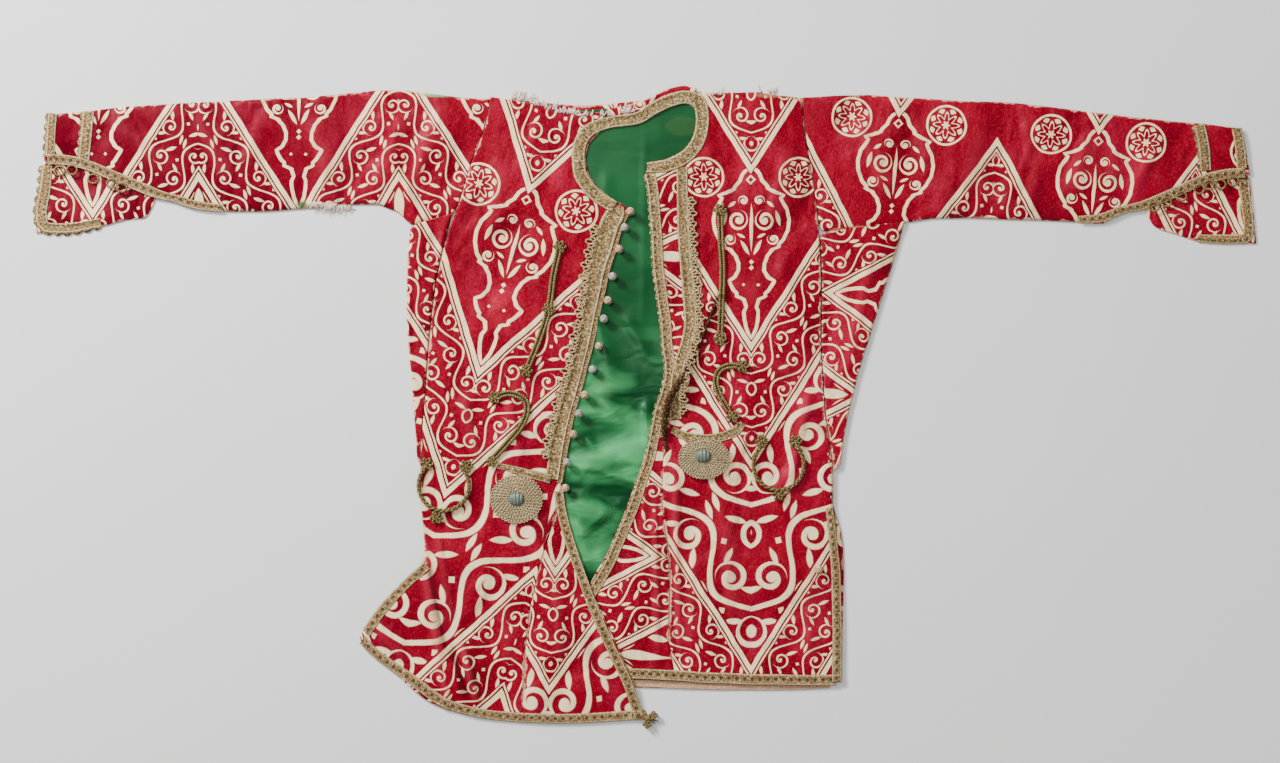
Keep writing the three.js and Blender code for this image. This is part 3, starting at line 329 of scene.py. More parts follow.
# Dark dots on each kind of braid. Columns: place across as a share of half its width, shift
# along in pitches, pitch in mm, radius in mm.
DOT_ROWS = {
    "broad": ((0.0, 0.0, 9.4, 0.0),),
    "plain": ((0.0, 0.0, 9.4, 0.0),),
    "dotted": ((0.0, 0.0, 9.8, 2.3),),
    "narrow": ((0.05, 0.0, 9.2, 1.3),),
    "lace": ((-0.42, 0.0, 9.6, 1.5), (0.3, 0.5, 9.6, 1.0)),
    "cuff": ((0.45, 0.0, 6.6, 1.1), (-0.45, 0.5, 6.6, 0.9)),
}
# Lace tufts along a band: the band, the side they stand on, first and last y, reach, pitch.
TUFTED_LACE = {
    "band_left": (-1, -70, 226, 11.5, 15),
    "band_right": (1, -8, 262, 10.5, 13),
}

# The line along which a slack tuck of the right front falls over the cloth beside it.
# Columns: x, y.
TUCK_LINE = [
    (97, 165), (93, 150), (84, 135), (72, 104), (62, 78), (52, 60), (39, 35), (27, 16), (21, -3),
    (19, -28), (22, -52),
]
# In mm: how far back the tuck reaches, how high it stands, how far it hangs over, and how wide
# the stretch is that is carried over and that rolls down at its edge.
TUCK_REACH, TUCK_RISE, TUCK_OVERHANG, TUCK_CARRIED, TUCK_ROLL = 30, 4.4, 5.0, 14, 5
# The length over which the tuck runs out at either end, in metres.
TUCK_FADE = 0.022
TUCKED = ("front_right", "front_right_gore")

# Sewn-down cords. Columns of a line: x, y. Columns of its knots: x, y, radius.
CORDWORK = {
    "bar_left": (
        [(-107, 202), (-115, 166), (-121, 124), (-133, 86), (-149, 47)],
        [(-107, 202, 8), (-121, 124, 8), (-149, 47, 8)]),
    "bar_right": (
        [(93, 248), (94, 211), (96, 176), (95, 136), (93, 87)],
        [(93, 248, 8), (93, 87, 8)]),
    "scroll_left": (
        [(-188, 14), (-170, 19), (-152, 12), (-148, -3), (-156, -23), (-171, -41), (-190, -62)],
        [(-188, 14, 8), (-192, -66, 6.5)]),
    "scroll_right": (
        [(121, 53), (103, 53), (91, 46), (88, 31), (93, 16), (104, -3)],
        [(121, 53, 8), (109, -10, 8)]),
    "ring_left": (None, [(-273, -69, 8), (-224, -72, 8), (-261, -136, 8)]),
    "ring_right": (None, [(145, -41, 8), (187, -41, 8), (166, -107, 8)]),
}
# Columns: x, y, radius, half the opening at the top in radians.
RINGS = {"ring_left": (-252, -96, 31.5, 0.75), "ring_right": (166, -70, 31.5, 0.75)}
# Columns: x, y, radius, stretch along y, x and y of the boss.
ROSETTES = {"left": (-161, -113, 33, 0.93, -161, -113), "right": (73, -62, 32, 0.82, 72, -59)}
# Coils of a rosette. Columns: share of its radius, loops.
COILS = [(1.0, 44), (0.84, 38), (0.69, 32), (0.55, 26), (0.42, 20)]
BOSS_HALF_SIZES = (10.4 * MM, 8.6 * MM, 5.2 * MM)

# Columns: x, y.
BUTTONS = [
    (-19, 246), (-26, 226), (-33, 199), (-41, 165), (-47, 135), (-52, 112), (-58, 78), (-66, 49),
    (-76, 17), (-83, -6), (-90, -32), (-98, -67), (-100, -99),
]
VENT_BUTTON = (216, -201)
TASSEL = (3, -383)
# Button loops of the slit cuffs. Columns: x, y, turn in degrees.
CUFF_LOOPS = [
    (-732, 297, -8), (-716, 298, -8), (-690, 287, -22), (-666, 281, -22), (-654, 276, -22),
    (734, 284, 8), (718, 280, 12), (703, 279, 14), (691, 274, 20), (669, 265, 22), (650, 258, 22),
    (635, 252, 22),
]
# The basting beside the right side seam. Columns: x, y.
BASTING_LINE = [(216, 222), (219, 161), (219, 90), (224, 0), (231, -77), (233, -118)]
# Tufts of frayed thread. Columns: x, y, direction in degrees, strands, spread along x.
TUFTS = [
    (-160, 390, 100, 26, 7), (-150, 388, 50, 22, 9), (-132, 384, 120, 20, 9),
    (-118, 381, 70, 12, 8),
    (-98, 376, 95, 26, 12), (-76, 372, 80, 14, 10), (-46, 371, 95, 12, 12), (-22, 374, 75, 22, 8),
    (92, 392, 95, 14, 8), (150, 391, 90, 10, 14),
    (-412, 256, -60, 22, 9), (-396, 254, -110, 22, 9), (-378, 252, -80, 16, 9),
]


# ---------------------------------------------------------------- materials

class Wire:
    """A shader socket that grows Math nodes when it stands in an expression."""

    def __init__(self, finish, socket):
        self.finish = finish
        self.socket = socket

    def math(self, operation, *others):
        node = self.finish.node("ShaderNodeMath", {"operation": operation},
                                dict(enumerate([self, *others])))
        return Wire(self.finish, node.outputs[0])

    def __add__(self, other):
        return self.math("ADD", other)

    __radd__ = __add__

    def __mul__(self, other):
        return self.math("MULTIPLY", other)

    __rmul__ = __mul__

    def __sub__(self, other):
        return self.math("SUBTRACT", other)

    def __rsub__(self, other):
        return (self * -1).math("ADD", other)

    def __truediv__(self, other):
        return self.math("DIVIDE", other)

    def __lt__(self, other):
        return self.math("LESS_THAN", other)

    def __gt__(self, other):
        return self.math("GREATER_THAN", other)

    def __abs__(self):
        return self.math("ABSOLUTE")

    def __pow__(self, other):
        return self.math("POWER", other)

    def __mod__(self, other):
        return self.math("FLOORED_MODULO", other)

    def floor(self):
        return self.math("FLOOR")

    def sine(self):
        return self.math("SINE")

    def cosine(self):
        return self.math("COSINE")

    def at_most(self, other):
        return self.math("MINIMUM", other)

    def at_least(self, other):
        return self.math("MAXIMUM", other)

    def past(self, start, gain, most=1):
        """How far the value is past `start`, times `gain`, kept between 0 and `most`."""
        return ((self - start) * gain).at_least(0).at_most(most)

    def within(self, reach, softness=0.25):
        """1 where the value is under `reach`, falling softly to 0 beyond it."""
        return self.past(reach + softness, -0.5 / softness)


class Finish:
    """One material and the few ways its nodes are added."""

    def __init__(self, name, **values):
        self.material = bpy.data.materials.new(name)
        self.material.use_nodes = True
        self.tree = self.material.node_tree
        self.surface = next(n for n in self.tree.nodes if n.type == "BSDF_PRINCIPLED")
        for socket, value in values.items():
            self.surface.inputs[socket.replace("_", " ")].default_value = value

    def node(self, kind, settings=None, values=None):
        node = self.tree.nodes.new(kind)
        for key, value in (settings or {}).items():
            setattr(node, key, value)
        for key, value in (values or {}).items():
            self.feed(node.inputs[key], value)
        return node

    def feed(self, socket, value):
        if isinstance(value, Wire):
            value = value.socket
        if isinstance(value, bpy.types.NodeSocket):
            self.tree.links.new(value, socket)
        elif socket.type == "RGBA" and len(value) == 3:
            socket.default_value = (*value, 1)
        else:
            socket.default_value = value

    def wire(self, kind, settings=None, values=None, output=0):
        return Wire(self, self.node(kind, settings, values).outputs[output])

    def place(self):
        """Where a point is on the object, in millimetres along x, y and z."""
        coordinates = self.node("ShaderNodeTexCoord").outputs["Object"]
        split = self.node("ShaderNodeSeparateXYZ", None, {0: coordinates})
        return coordinates, [Wire(self, out) * 1000 for out in split.outputs]

    def layer(self, name="cut", scale=1000):
        """Where a point is on one of the piece's own layers; as it stands, in millimetres."""
        layer = self.node("ShaderNodeUVMap", {"uv_map": name}).outputs[0]
        split = self.node("ShaderNodeSeparateXYZ", None, {0: layer})
        return layer, Wire(self, split.outputs[0]) * scale, Wire(self, split.outputs[1]) * scale

    def curve(self, value, stops):
        """A value from 0 to 1 read off a curve of straight lines between the given stops."""
        node = self.node("ShaderNodeFloatCurve", None, {"Value": value})
        points = node.mapping.curves[0].points
        for i, place in enumerate(stops):
            if i < 2:
                points[i].location = place
            else:
                points.new(*place)
        for point in points:
            point.handle_type = "VECTOR"
        node.mapping.update()
        return Wire(self, node.outputs[0])

    def noise(self, vector, scale, detail=3.0, roughness=0.55, distortion=0.0):
        return self.wire("ShaderNodeTexNoise", None, {
            "Vector": vector, "Scale": scale, "Detail": detail, "Roughness": roughness,
            "Distortion": distortion,
        })

    def stretch(self, vector, scale, turn=0.0):
        return self.node("ShaderNodeMapping", None, {
            "Vector": vector, "Scale": scale, "Rotation": (0, 0, math.radians(turn)),
        }).outputs[0]

    def mix(self, share, first, second):
        node = self.node("ShaderNodeMix", {"data_type": "RGBA"}, {"Factor": share})
        self.feed(node.inputs[6], first)
        self.feed(node.inputs[7], second)
        return node.outputs[2]

    def coats(self, base, *coats):
        """A colour with others laid over it in turn, each given as its share and its colour."""
        for share, shade in coats:
            base = self.mix(share, base, shade)
        return base

    def bump(self, height, distance, strength=1.0, below=None):
        values = {"Height": height, "Distance": distance * MM, "Strength": strength}
        if below is not None:
            values["Normal"] = below
        return self.node("ShaderNodeBump", None, values).outputs[0]

    def finish(self, **links):
        for socket, value in links.items():
            self.feed(self.surface.inputs[socket.replace("_", " ")], value)
        return self.material


def length_of(x, y):
    """Distance of (x, y) from nought, as a wire."""
    return (x * x + y * y) ** 0.5


def joined(*inks):
    """All of the given inks together."""
    total = inks[0]
    for ink in inks[1:]:
        total = total.at_least(ink)
    return total


def spiral(x, y, reach, spacing, half_width, turn=0.0):
    """Ink of a curl about nought: one line that winds inwards to a round bud."""
    radius = length_of(x, y)
    angle = y.math("ARCTAN2", x) / (2 * math.pi)
    winding = (radius / spacing - angle + turn) % 1.0
    line = (abs(winding - 0.5) * spacing).within(half_width)
    line = line * (radius < reach)
    return line.at_least(radius.within(half_width * 1.9))


def almond(x, y, centre_x, centre_y, length, width, turn):
    """Ink of one pointed leaf."""
    cos, sin = math.cos(math.radians(turn)), math.sin(math.radians(turn))
    dx, dy = x - centre_x, y - centre_y
    along = (dx * cos + dy * sin) / length
    off = abs(dy * cos - dx * sin)
    return (off - (1 - along * along) * width).within(0)


def lozenge_reach(x, y, centre_x, centre_y):
    """Distance from a centre, measured so that its outline is a square on its corner."""
    return abs(x - centre_x) + abs(y - centre_y)


def lozenge(x, y, centre_x, centre_y, half):
    """Ink of a small square standing on its corner."""
    return lozenge_reach(x, y, centre_x, centre_y).within(half)


def petals(x, y, count, radius, swing):
    """How far (x, y) lies outside an outline of round petals about nought."""
    angle = y.math("ARCTAN2", x) * count
    return length_of(x, y) - (angle.cosine() * swing + radius)


# Half width of the pendant against depth below the chevron's point.
# Columns: share of the depth of its band, half width in mm.
PENDANT = [
    (0.0, 0), (0.012, 0), (0.03, 7), (0.05, 11), (0.085, 14), (0.11, 19.5), (0.128, 22),
    (0.145, 29),
    (0.165, 40), (0.178, 36.5), (0.20, 39), (0.24, 45), (0.29, 47), (0.35, 45.5), (0.40, 40),
    (0.425, 35), (0.44, 34), (0.455, 27), (0.49, 20), (0.53, 16), (0.565, 16), (0.60, 21),
    (0.622, 28), (0.64, 26), (0.67, 22), (0.69, 18), (0.705, 18), (0.725, 10), (0.74, 8.5),
    (0.765, 6.5), (0.79, 9), (0.83, 8.5), (0.87, 6.5), (0.945, 0), (1.0, 0),
]
PENDANT_WIDTH = 50.0
# Depths of the ornament's bands, in mm: pendants, small scrolls, large scrolls, small scrolls.
BAND_PENDANT, BAND_SMALL, BAND_LARGE = 232.0, 137.0, 266.0
STEEPNESS = 1.58
# The roundels beside each pendant: their place beside the middle, depth and radius, in mm.
ROUNDEL_ACROSS, ROUNDEL_DEPTH, ROUNDEL_RADIUS = 59.5, 15, 24
# One cell of the scrollwork and the swing of its vine, in mm.
SCROLL_CELL, SCROLL_SWING = 25.0, 7.2
# Leaves of a cell and of a pendant. Columns: x, y, half length, half width, turn in degrees.
SCROLL_LEAVES = [(-8.4, -7.0, 4.8, 1.35, 40), (9.2, -6.6, 4.2, 1.2, -58), (5.6, 10.2, 4.2, 1.2, 14)]
PENDANT_LEAVES = [
    (33, 66, 10, 2.6, 76), (24, 49, 6, 2.0, 40), (0, 78, 30, 2.2, 90), (8, 103, 11, 2.4, 120),
    (13, 88, 6, 1.8, -30),
]
# Curls of a pendant. Columns: x, y, reach, spacing, half width, share of a turn.
PENDANT_CURLS = [
    (17, 68, 12.5, 7.4, 1.7, 0.3), (27, 92, 7.2, 5.6, 1.4, 0.6), (10.5, 44, 6.2, 5.0, 1.3, 0.1),
]
# Small squares of a pendant. Columns: x, y, half width.
PENDANT_SQUARES = [(0, 121, 3.0), (0, 128, 3.0), (9, 149, 2.2)]


def scrollwork(x, y, row_height, weight):
    """Ink of running scrolls: a waving vine, a curl in each bend, leaves and buds between."""
    row = (y / row_height).floor()
    local_y = y - (row + 0.5) * row_height
    shifted = x / SCROLL_CELL + row * 0.5
    column = shifted.floor()
    local_x = (shifted - column - 0.5) * SCROLL_CELL
    local_y = local_y * (((column + row) % 2.0) * 2 - 1)
    local_x = local_x * ((row % 2.0) * 2 - 1)
    wave = (local_x * (math.pi / SCROLL_CELL)).cosine() * SCROLL_SWING
    return joined(
        abs(local_y - wave).within(weight),
        spiral(local_x - 1.0, local_y + 2.6, 7.0, 5.4, weight * 0.85, 0.15),
        *[almond(local_x, local_y, *leaf) for leaf in SCROLL_LEAVES],
        lozenge(local_x, local_y, -9.0, 8.6, 1.6),
    )


def pendant_ink(finish, across, depth):
    """Ink of the lobed pendant that hangs in each chevron, with the sprays inside it."""
    stops = [(place, width / PENDANT_WIDTH) for place, width in PENDANT]

    def half_width(shift):
        share = (depth + shift) / BAND_PENDANT
        return finish.curve(share.at_least(0).at_most(1), stops) * PENDANT_WIDTH

    slope = (half_width(1.2) - half_width(-1.2)) / 2.4
    width = half_width(0)
    outline = (abs(across - width) / (slope * slope + 1) ** 0.5).within(2.2) * (width > 0.6)
    sprays = joined(
        *[spiral(across - x, depth - y, *curl) for x, y, *curl in PENDANT_CURLS],
        *[almond(across, depth, *leaf) for leaf in PENDANT_LEAVES],
        *[lozenge(across, depth, *square) for square in PENDANT_SQUARES],
        abs(lozenge_reach(across, depth, 0, 18) - 5).within(1.4),
    )
    return outline.at_least(sprays * (across < width))


def roundel_ink(across, depth):
    """Ink of the round flower on either side of a pendant."""
    x, y = across - ROUNDEL_ACROSS, depth - ROUNDEL_DEPTH
    return joined(
        abs(length_of(x, y) - ROUNDEL_RADIUS).within(1.3),
        abs(petals(x, y, 8, 12.2, 3.8)).within(1.2),
        petals(x, y, 6, 4.2, 1.5).within(0),
        petals(x, y, 8, 19.6, -1.6).within(0) * (petals(x, y, 8, 18.2, 3.0) > 0),
    )


def woven_ink(silk, sizes, u, v):
    """Ink of the whole ornament, and the fine shadow that runs beside its broad lines."""
    across = u.math("PINGPONG", sizes.chevron / MM / 2)
    period = BAND_PENDANT + BAND_LARGE + 2 * BAND_SMALL
    below = (across * STEEPNESS - v) % period
    stretch = math.hypot(1, STEEPNESS)
    squareness = 1 / stretch
    to_pendant = (below - BAND_PENDANT / 2 + period / 2) % period - period / 2
    in_pendant = (BAND_PENDANT / 2 - abs(to_pendant)) * squareness
    to_large = below - (BAND_PENDANT + BAND_SMALL + BAND_LARGE / 2)
    in_large = (BAND_LARGE / 2 - abs(to_large)) * squareness
    inside = in_pendant.at_least(in_large)

    line = sizes.chevron_line / MM
    broad = abs(inside - line / 2).within(line / 2)
    hairline = abs(inside + 3.0).within(0.95)
    shadow = abs(inside + 1.05).within(0.7)

    side = (to_large > 0) * 2 - 1
    small = (to_large - side * ((BAND_LARGE + BAND_SMALL) / 2)) * squareness
    large = to_large * squareness
    is_large = in_large > 0
    scale = is_large * 1.4 + 1.5
    off = (small + (large - small) * is_large) / scale
    along = across * stretch / scale - off * STEEPNESS
    row = sizes.scroll / MM
    scrolls = scrollwork(along, off + row, row, is_large * 0.55 + 0.8)
    scrolls = scrolls * (inside < -5.5).at_least(in_large > 8.5)

    depth = to_pendant + BAND_PENDANT / 2 - across * STEEPNESS
    hanging = pendant_ink(silk, across, depth).at_least(roundel_ink(across, depth))
    return joined(broad, hairline, scrolls, hanging * (in_pendant > 7)), shadow


def figured_silk(colours, sizes):
    """Red silk with chevrons, pendants, roundels and scrollwork woven in cream."""
    silk = Finish("figured_silk", Specular_IOR_Level=0.28, Specular_Tint=(1.0, 0.16, 0.26, 1.0))
    layer, u, v = silk.layer()
    _, rim, fold = silk.layer("share")
    place, (x, y, _) = silk.place()
    waver = silk.noise(layer, 22.0, 3.0) - 0.5
    sway = silk.noise(silk.stretch(layer, (1, 1, 1), 70), 20.0, 3.0) - 0.5
    u, v = u + waver * 5, v + sway * 5
    ink, shadow = woven_ink(silk, sizes, u, v)

    cloudy = silk.noise(place, 14.0, 4.0)
    rubbed = silk.noise(place, 60.0, 5.0, 0.7)
    painted_sheen = silk.noise(silk.stretch(place, (1.5, 0.8, 1), -14), 9.0, 3.0, 0.5, 0.4)
    grain = silk.noise(silk.stretch(layer, (1, 0.5, 1)), 520.0, 2.0, 0.7)
    wear = rubbed.past(0.58, 5)
    frayed = (rim - (rubbed - 0.46) * 17).within(0.1, 0.6)
    ground = silk.coats(
        colours.red_deep,
        (cloudy.past(0.3, 2.2), colours.red),
        # Painted sheen: soft patches of lit pinkish red, and patches of painted shade in deep red.
        (painted_sheen.past(0.56, 4, 0.3), (0.42, 0.01, 0.045)),
        (painted_sheen.past(0.46, -5, 0.45), colours.red_deep),
        (wear * 0.3, colours.red_worn_and_lit),
        (shadow * 0.8 * (1 - ink), (0.02, 0.004, 0.008)),
        (grain.past(0.5, 4, 0.4), colours.red_deep),
        (grain.past(0.46, -4, 0.22), colours.red_worn_and_lit),
        # Painted shade: the ground grows darker towards the left, where the key lamp lights it most
        # strongly.
        (x.past(-200, -1 / 600, 0.62), (0.06, 0.0, 0.004)),
    )
    cream = silk.coats(
        colours.cream, (wear * 0.7, colours.cream_worn),
        (grain.past(0.52, 4, 0.35), colours.cream_worn),
    )
    # Columns: x and y of the middle, reach along x and y, strength, colour.
    stains = [
        (-429, 254, 9, 6, 0.9, colours.green),
        (-258, 391, 30, 3, 0.8, colours.green_sheen),
        (-396, 251, 26, 5, 0.6, (0.62, 0.36, 0.16)),
        (-556, 252, 24, 7, 0.7, (0.30, 0.24, 0.19)),
        (156, 391, 22, 4, 0.7, (0.42, 0.20, 0.10)),
    ]
    shade = (0.03, 0.001, 0.003)
    base = silk.coats(
        ground,
        (ink * 0.98, cream),
        # Painted shade in the troughs of the creases, a paler ridge that is part wear and part
        # painted highlight, and painted shadow along the shaded sides of the sharpest folds.
        (fold.past(0, -0.42, 0.55), shade),
        (fold.past(0, 0.11, 0.32), colours.red_worn_and_lit),
        *[(fold_shade(x, y, *ends) * 0.6, shade) for ends in FOLD_SHADES],
        (frayed * 0.7, colours.cream_worn),
        *[(stain(x, y, *spot) * strength, tone) for *spot, strength, tone in stains],
    )
    weave = (u * (2 * math.pi / 0.9)).sine() * 0.5 + (v * (2 * math.pi / 1.3)).sine() * 0.5
    slubs = silk.noise(silk.stretch(place, (1, 8, 1)), 260.0, 2.0)
    limp = silk.noise(silk.stretch(place, (1.4, 0.8, 1), 12), 10.0, 2.5, 0.45, 0.5)
    puckers = silk.noise(silk.stretch(place, (1.3, 0.7, 1), -20), 48.0, 2.0, 0.5, 0.6)
    soft = silk.bump(limp * 8.0 + puckers * 0.7, 2.8, 0.95)
    return silk.finish(
        Base_Color=base,
        Roughness=ink * 0.14 + (0.3 + rubbed * 0.16),
        Normal=silk.bump(weave * 0.3 + ink + slubs * 0.9, 0.16, 0.8, soft),
    )


def fold_shade(x, y, start_x, start_y, end_x, end_y):
    """A soft-edged line between two places on the object, in millimetres."""
    along = (y - start_y) / (end_y - start_y)
    off = abs(x - (along * (end_x - start_x) + start_x))
    return off.within(2.2, 2.0) * abs(along - 0.5).within(0.42, 0.08)


def stain(x, y, centre_x, centre_y, reach_x, reach_y):
    """A soft-edged spot at a place on the object, in millimetres."""
    return length_of((x - centre_x) / reach_x, (y - centre_y) / reach_y).within(0.75, 0.3)


def lining_satin(colours):
    """Green satin with a soft lustre along its creases, partly painted highlight and painted shade,
    marked by age.
    """
    satin = Finish("lining_satin", Specular_IOR_Level=0.32, Specular_Tint=(0.45, 1.0, 0.6, 1.0))
    place, (x, y, _) = satin.place()
    clouds = satin.noise(place, 7.0, 4.0)
    limp = satin.noise(satin.stretch(place, (0.7, 1.6, 1), 22), 8.5, 2.0, 0.4, 0.5)
    puckers = satin.noise(satin.stretch(place, (0.8, 1.5, 1), -18), 25.0, 2.0, 0.4, 0.5)
    stained = stain(x, y, 48, 352, 24, 12) + stain(x, y, -56, 20, 14, 22) * 0.7
    slack = y.past(110, -1 / 90).at_least(0.1)
    base = satin.coats(
        colours.green_deep,
        (clouds.past(0.3, 2), colours.green),
        ((stained * clouds).at_most(0.14), (0.10, 0.12, 0.03)),
        # Painted highlights on the creases of the lower lining, and painted shade in their troughs.
        ((limp + puckers * 0.4).past(0.64, 5) * slack * 0.75, colours.green_sheen),
        (limp.past(0.5, -5) * slack * 0.6, (0.001, 0.022, 0.006)),
    )
    folds = (limp * 9.0 + puckers * 2.2) * slack
    threads = satin.noise(satin.stretch(place, (1, 0.12, 1)), 1600.0, 1.0)
    return satin.finish(
        Base_Color=base,
        Roughness=0.34 + clouds * 0.14,
        Normal=satin.bump(threads, 0.12, 0.5, satin.bump(folds, 3.4, 0.9)),
    )


def braid_finish(kind, colours):
    """Metal-thread braid: slanting threads, mottled with tarnish, and rows of dark dots."""
    braid = Finish(f"{kind}_braid", Specular_IOR_Level=0.5)
    layer, along, off = braid.layer()
    _, share, _ = braid.layer("share", 1)
    place, _ = braid.place()
    spots = []
    for across, shift, pitch, radius in DOT_ROWS[kind]:
        step = (along / pitch + shift) % 1.0 - 0.5
        near = length_of(step * pitch, (share - across) * 6.5)
        spots.append(near.within(radius, 0.35) * (radius > 0))
    dots = joined(*spots)
    ring = (near - DOT_ROWS[kind][0][3] - 1.0).within(0.9, 0.5) * (1 - dots)
    border = (abs(abs(share) - 0.82)).within(0.1, 0.06)
    ridges = ((along * 1.15 + abs(off) * 1.1) * (2 * math.pi / 2.3)).sine()
    strands = braid.noise(braid.stretch(layer, (1, 2.5, 1), 30), 720.0, 2.0)
    patches = braid.noise(place, 70.0, 4.0, 0.7)
    mottle = braid.noise(place, 400.0, 1.5, 0.6)
    tinge = braid.noise(place, 310.0, 1.5, 0.6)
    metal = braid.coats(
        colours.gold,
        (patches.past(0.3, 2.4), colours.silver),
        (tinge.past(0.55, 6, 0.55), colours.verdigris),
        (tinge.past(0.42, -7, 0.4), colours.copper),
        (mottle.past(0.5, 9, 0.85), colours.tarnish),
        (mottle.past(0.43, -9, 0.85), colours.bright),
        ((ridges * -0.5 + 0.1).at_least(0) * 0.5, colours.tarnish),
        (ring * 0.55, (0.42, 0.2, 0.06)),
        (border * 0.5, colours.bright),
        (dots * 0.92, colours.dot),
    )
    if kind == "plain":
        metal = braid.mix(0.5, metal, colours.cream_worn)
    relief = ridges * 0.4 + strands + border * 0.8 - dots * 1.8
    return braid.finish(
        Base_Color=metal,
        Metallic=(1 - dots) * 0.25,
        Roughness=0.42 + strands * 0.25,
        Normal=braid.bump(relief, 0.45, 0.9),
    )


def cord_finish(name, first, second, colours, flecks=0.5, metallic=0.3):
    """Cord of metal thread wound round a core, its windings slanting along it."""
    cord = Finish(name, Specular_IOR_Level=0.5 if metallic else 0.1)
    _, along, off = cord.layer()
    place, _ = cord.place()
    winding = ((along / 3 + off / 6) * (2 * math.pi)).sine()
    patches = cord.noise(place, 90.0, 3.0, 0.6)
    mottle = cord.noise(place, 340.0, 3.0, 0.75)
    metal = cord.coats(
        first,
        (patches, second),
        (mottle.past(0.55, 7, 0.6), colours.tarnish),
        (mottle.past(0.42, -7, flecks), colours.bright),
        ((winding * -0.5 + 0.2).at_least(0) * 0.8, colours.tarnish),
    )
    return cord.finish(
        Base_Color=metal, Metallic=metallic, Roughness=0.45 + patches * 0.15,
        Normal=cord.bump(winding, 0.35, 0.8),
    )


def thread_ball(name, first, second, colours):
    """Thread wound over a ball in narrow gores."""
    ball = Finish(name, Specular_IOR_Level=0.5, Sheen_Weight=0.2)
    _, around, _ = ball.layer()
    place, _ = ball.place()
    gores = (around * (2 * math.pi / 125)).sine()
    lines = (around * (2 * math.pi / 31)).sine()
    patches = ball.noise(place, 200.0, 2.0)
    thread = ball.coats(first, (patches, second), ((gores * -0.6).at_least(0), colours.tarnish))
    return ball.finish(
        Base_Color=thread, Metallic=patches * 0.2 + 0.1, Roughness=0.42 + patches * 0.12,
        Normal=ball.bump(gores * 0.8 + lines * 0.4, 0.5, 0.8),
    )


def boss_thread(name, middle):
    """Grey-green thread wound over a grooved boss."""
    boss = Finish(name, Specular_IOR_Level=0.6)
    place, (x, _, _) = boss.place()
    grooves = ((x - middle) * (2 * math.pi / 4.4)).cosine()
    patches = boss.noise(place, 160.0, 3.0)
    shade = boss.coats(
        (0.15, 0.18, 0.11), (patches, (0.09, 0.13, 0.14)),
        ((grooves * 0.5).at_least(0) * 0.7, (0.07, 0.06, 0.035)),
    )
    return boss.finish(
        Base_Color=shade, Metallic=patches * 0.3, Roughness=0.3 + patches * 0.2,
        Normal=boss.bump(grooves * -1, 0.5, 0.7),
    )


def loose_thread(name, shade):
    """Plain silk thread."""
    thread = Finish(name, Roughness=0.55, Sheen_Weight=0.2)
    place, _ = thread.place()
    fleck = thread.noise(place, 1400.0, 2.0)
    return thread.finish(Base_Color=thread.mix(fleck, tuple(0.6 * part for part in shade), shade))


def floor_paper():
    """Plain pale paper."""
    paper = Finish("floor_paper", Roughness=0.9)
    grain = paper.noise(paper.place()[0], 3.0, 2.0)
    return paper.finish(Base_Color=paper.mix(grain, (0.78, 0.78, 0.775), (0.82, 0.82, 0.815)))


# ---------------------------------------------------------------- shapes

# Rays that look down on the laid pieces start this high, in metres.
LOOK_FROM, DOWN = 0.2, Vector((0, 0, -1))


def in_frame(points):
    """Table points, in millimetres, as metres in the frame."""
    table = np.array([point[:2] for point in points], float)
    return (table + SHIFT) * MM


def unit(vectors):
    """Each row of a table of vectors at a length of one."""
    return vectors / np.linalg.norm(vectors, axis=1)[:, None]


def normals_of(line):
    """Unit vectors that point left of a line in plan."""
    tangent = unit(np.gradient(line, axis=0))
    return np.stack([-tangent[:, 1], tangent[:, 0]], 1)


def distances(line):
    """How far along a line each of its points lies."""
    steps = np.linalg.norm(np.diff(line, axis=0), axis=1)
    return np.concatenate([[0], np.cumsum(steps)])


def mesh_piece(name, points, faces, material, uv, share=None):
    """A new object at the origin with the given points, faces and coordinates on its cut."""
    mesh = bpy.data.meshes.new(name)
    mesh.from_pydata([tuple(p) for p in np.asarray(points)], [], [tuple(f) for f in faces])
    corners = np.empty(len(mesh.loops), int)
    mesh.loops.foreach_get("vertex_index", corners)
    for layer, values in (("cut", uv), ("share", share)):
        if values is not None:
            made = mesh.uv_layers.new(name=layer)
            made.data.foreach_set("uv", np.asarray(values, float)[corners].ravel())
    mesh.polygons.foreach_set("use_smooth", [True] * len(mesh.polygons))
    mesh.materials.append(material)
    mesh.update()
    piece = bpy.data.objects.new(name, mesh)
    bpy.context.scene.collection.objects.link(piece)
    turn_outwards(piece)
    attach(piece, "root")
    return piece


def parts_piece(name, parts, material, node=None):
    """Cords and beads as one piece, which stands for a CAD node if one is named."""
    points, faces, uv = gather(parts)
    piece = mesh_piece(name, points, faces, material, uv)
    if node:
        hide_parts(node)
    return piece


def turn_outwards(piece):
    """Turns a closed mesh the right way round if its volume came out below nought."""
    mesh = bmesh.new()
    mesh.from_mesh(piece.data)
    if mesh.calc_volume(signed=True) < 0:
        bmesh.ops.reverse_faces(mesh, faces=mesh.faces[:])
        mesh.to_mesh(piece.data)
    mesh.free()


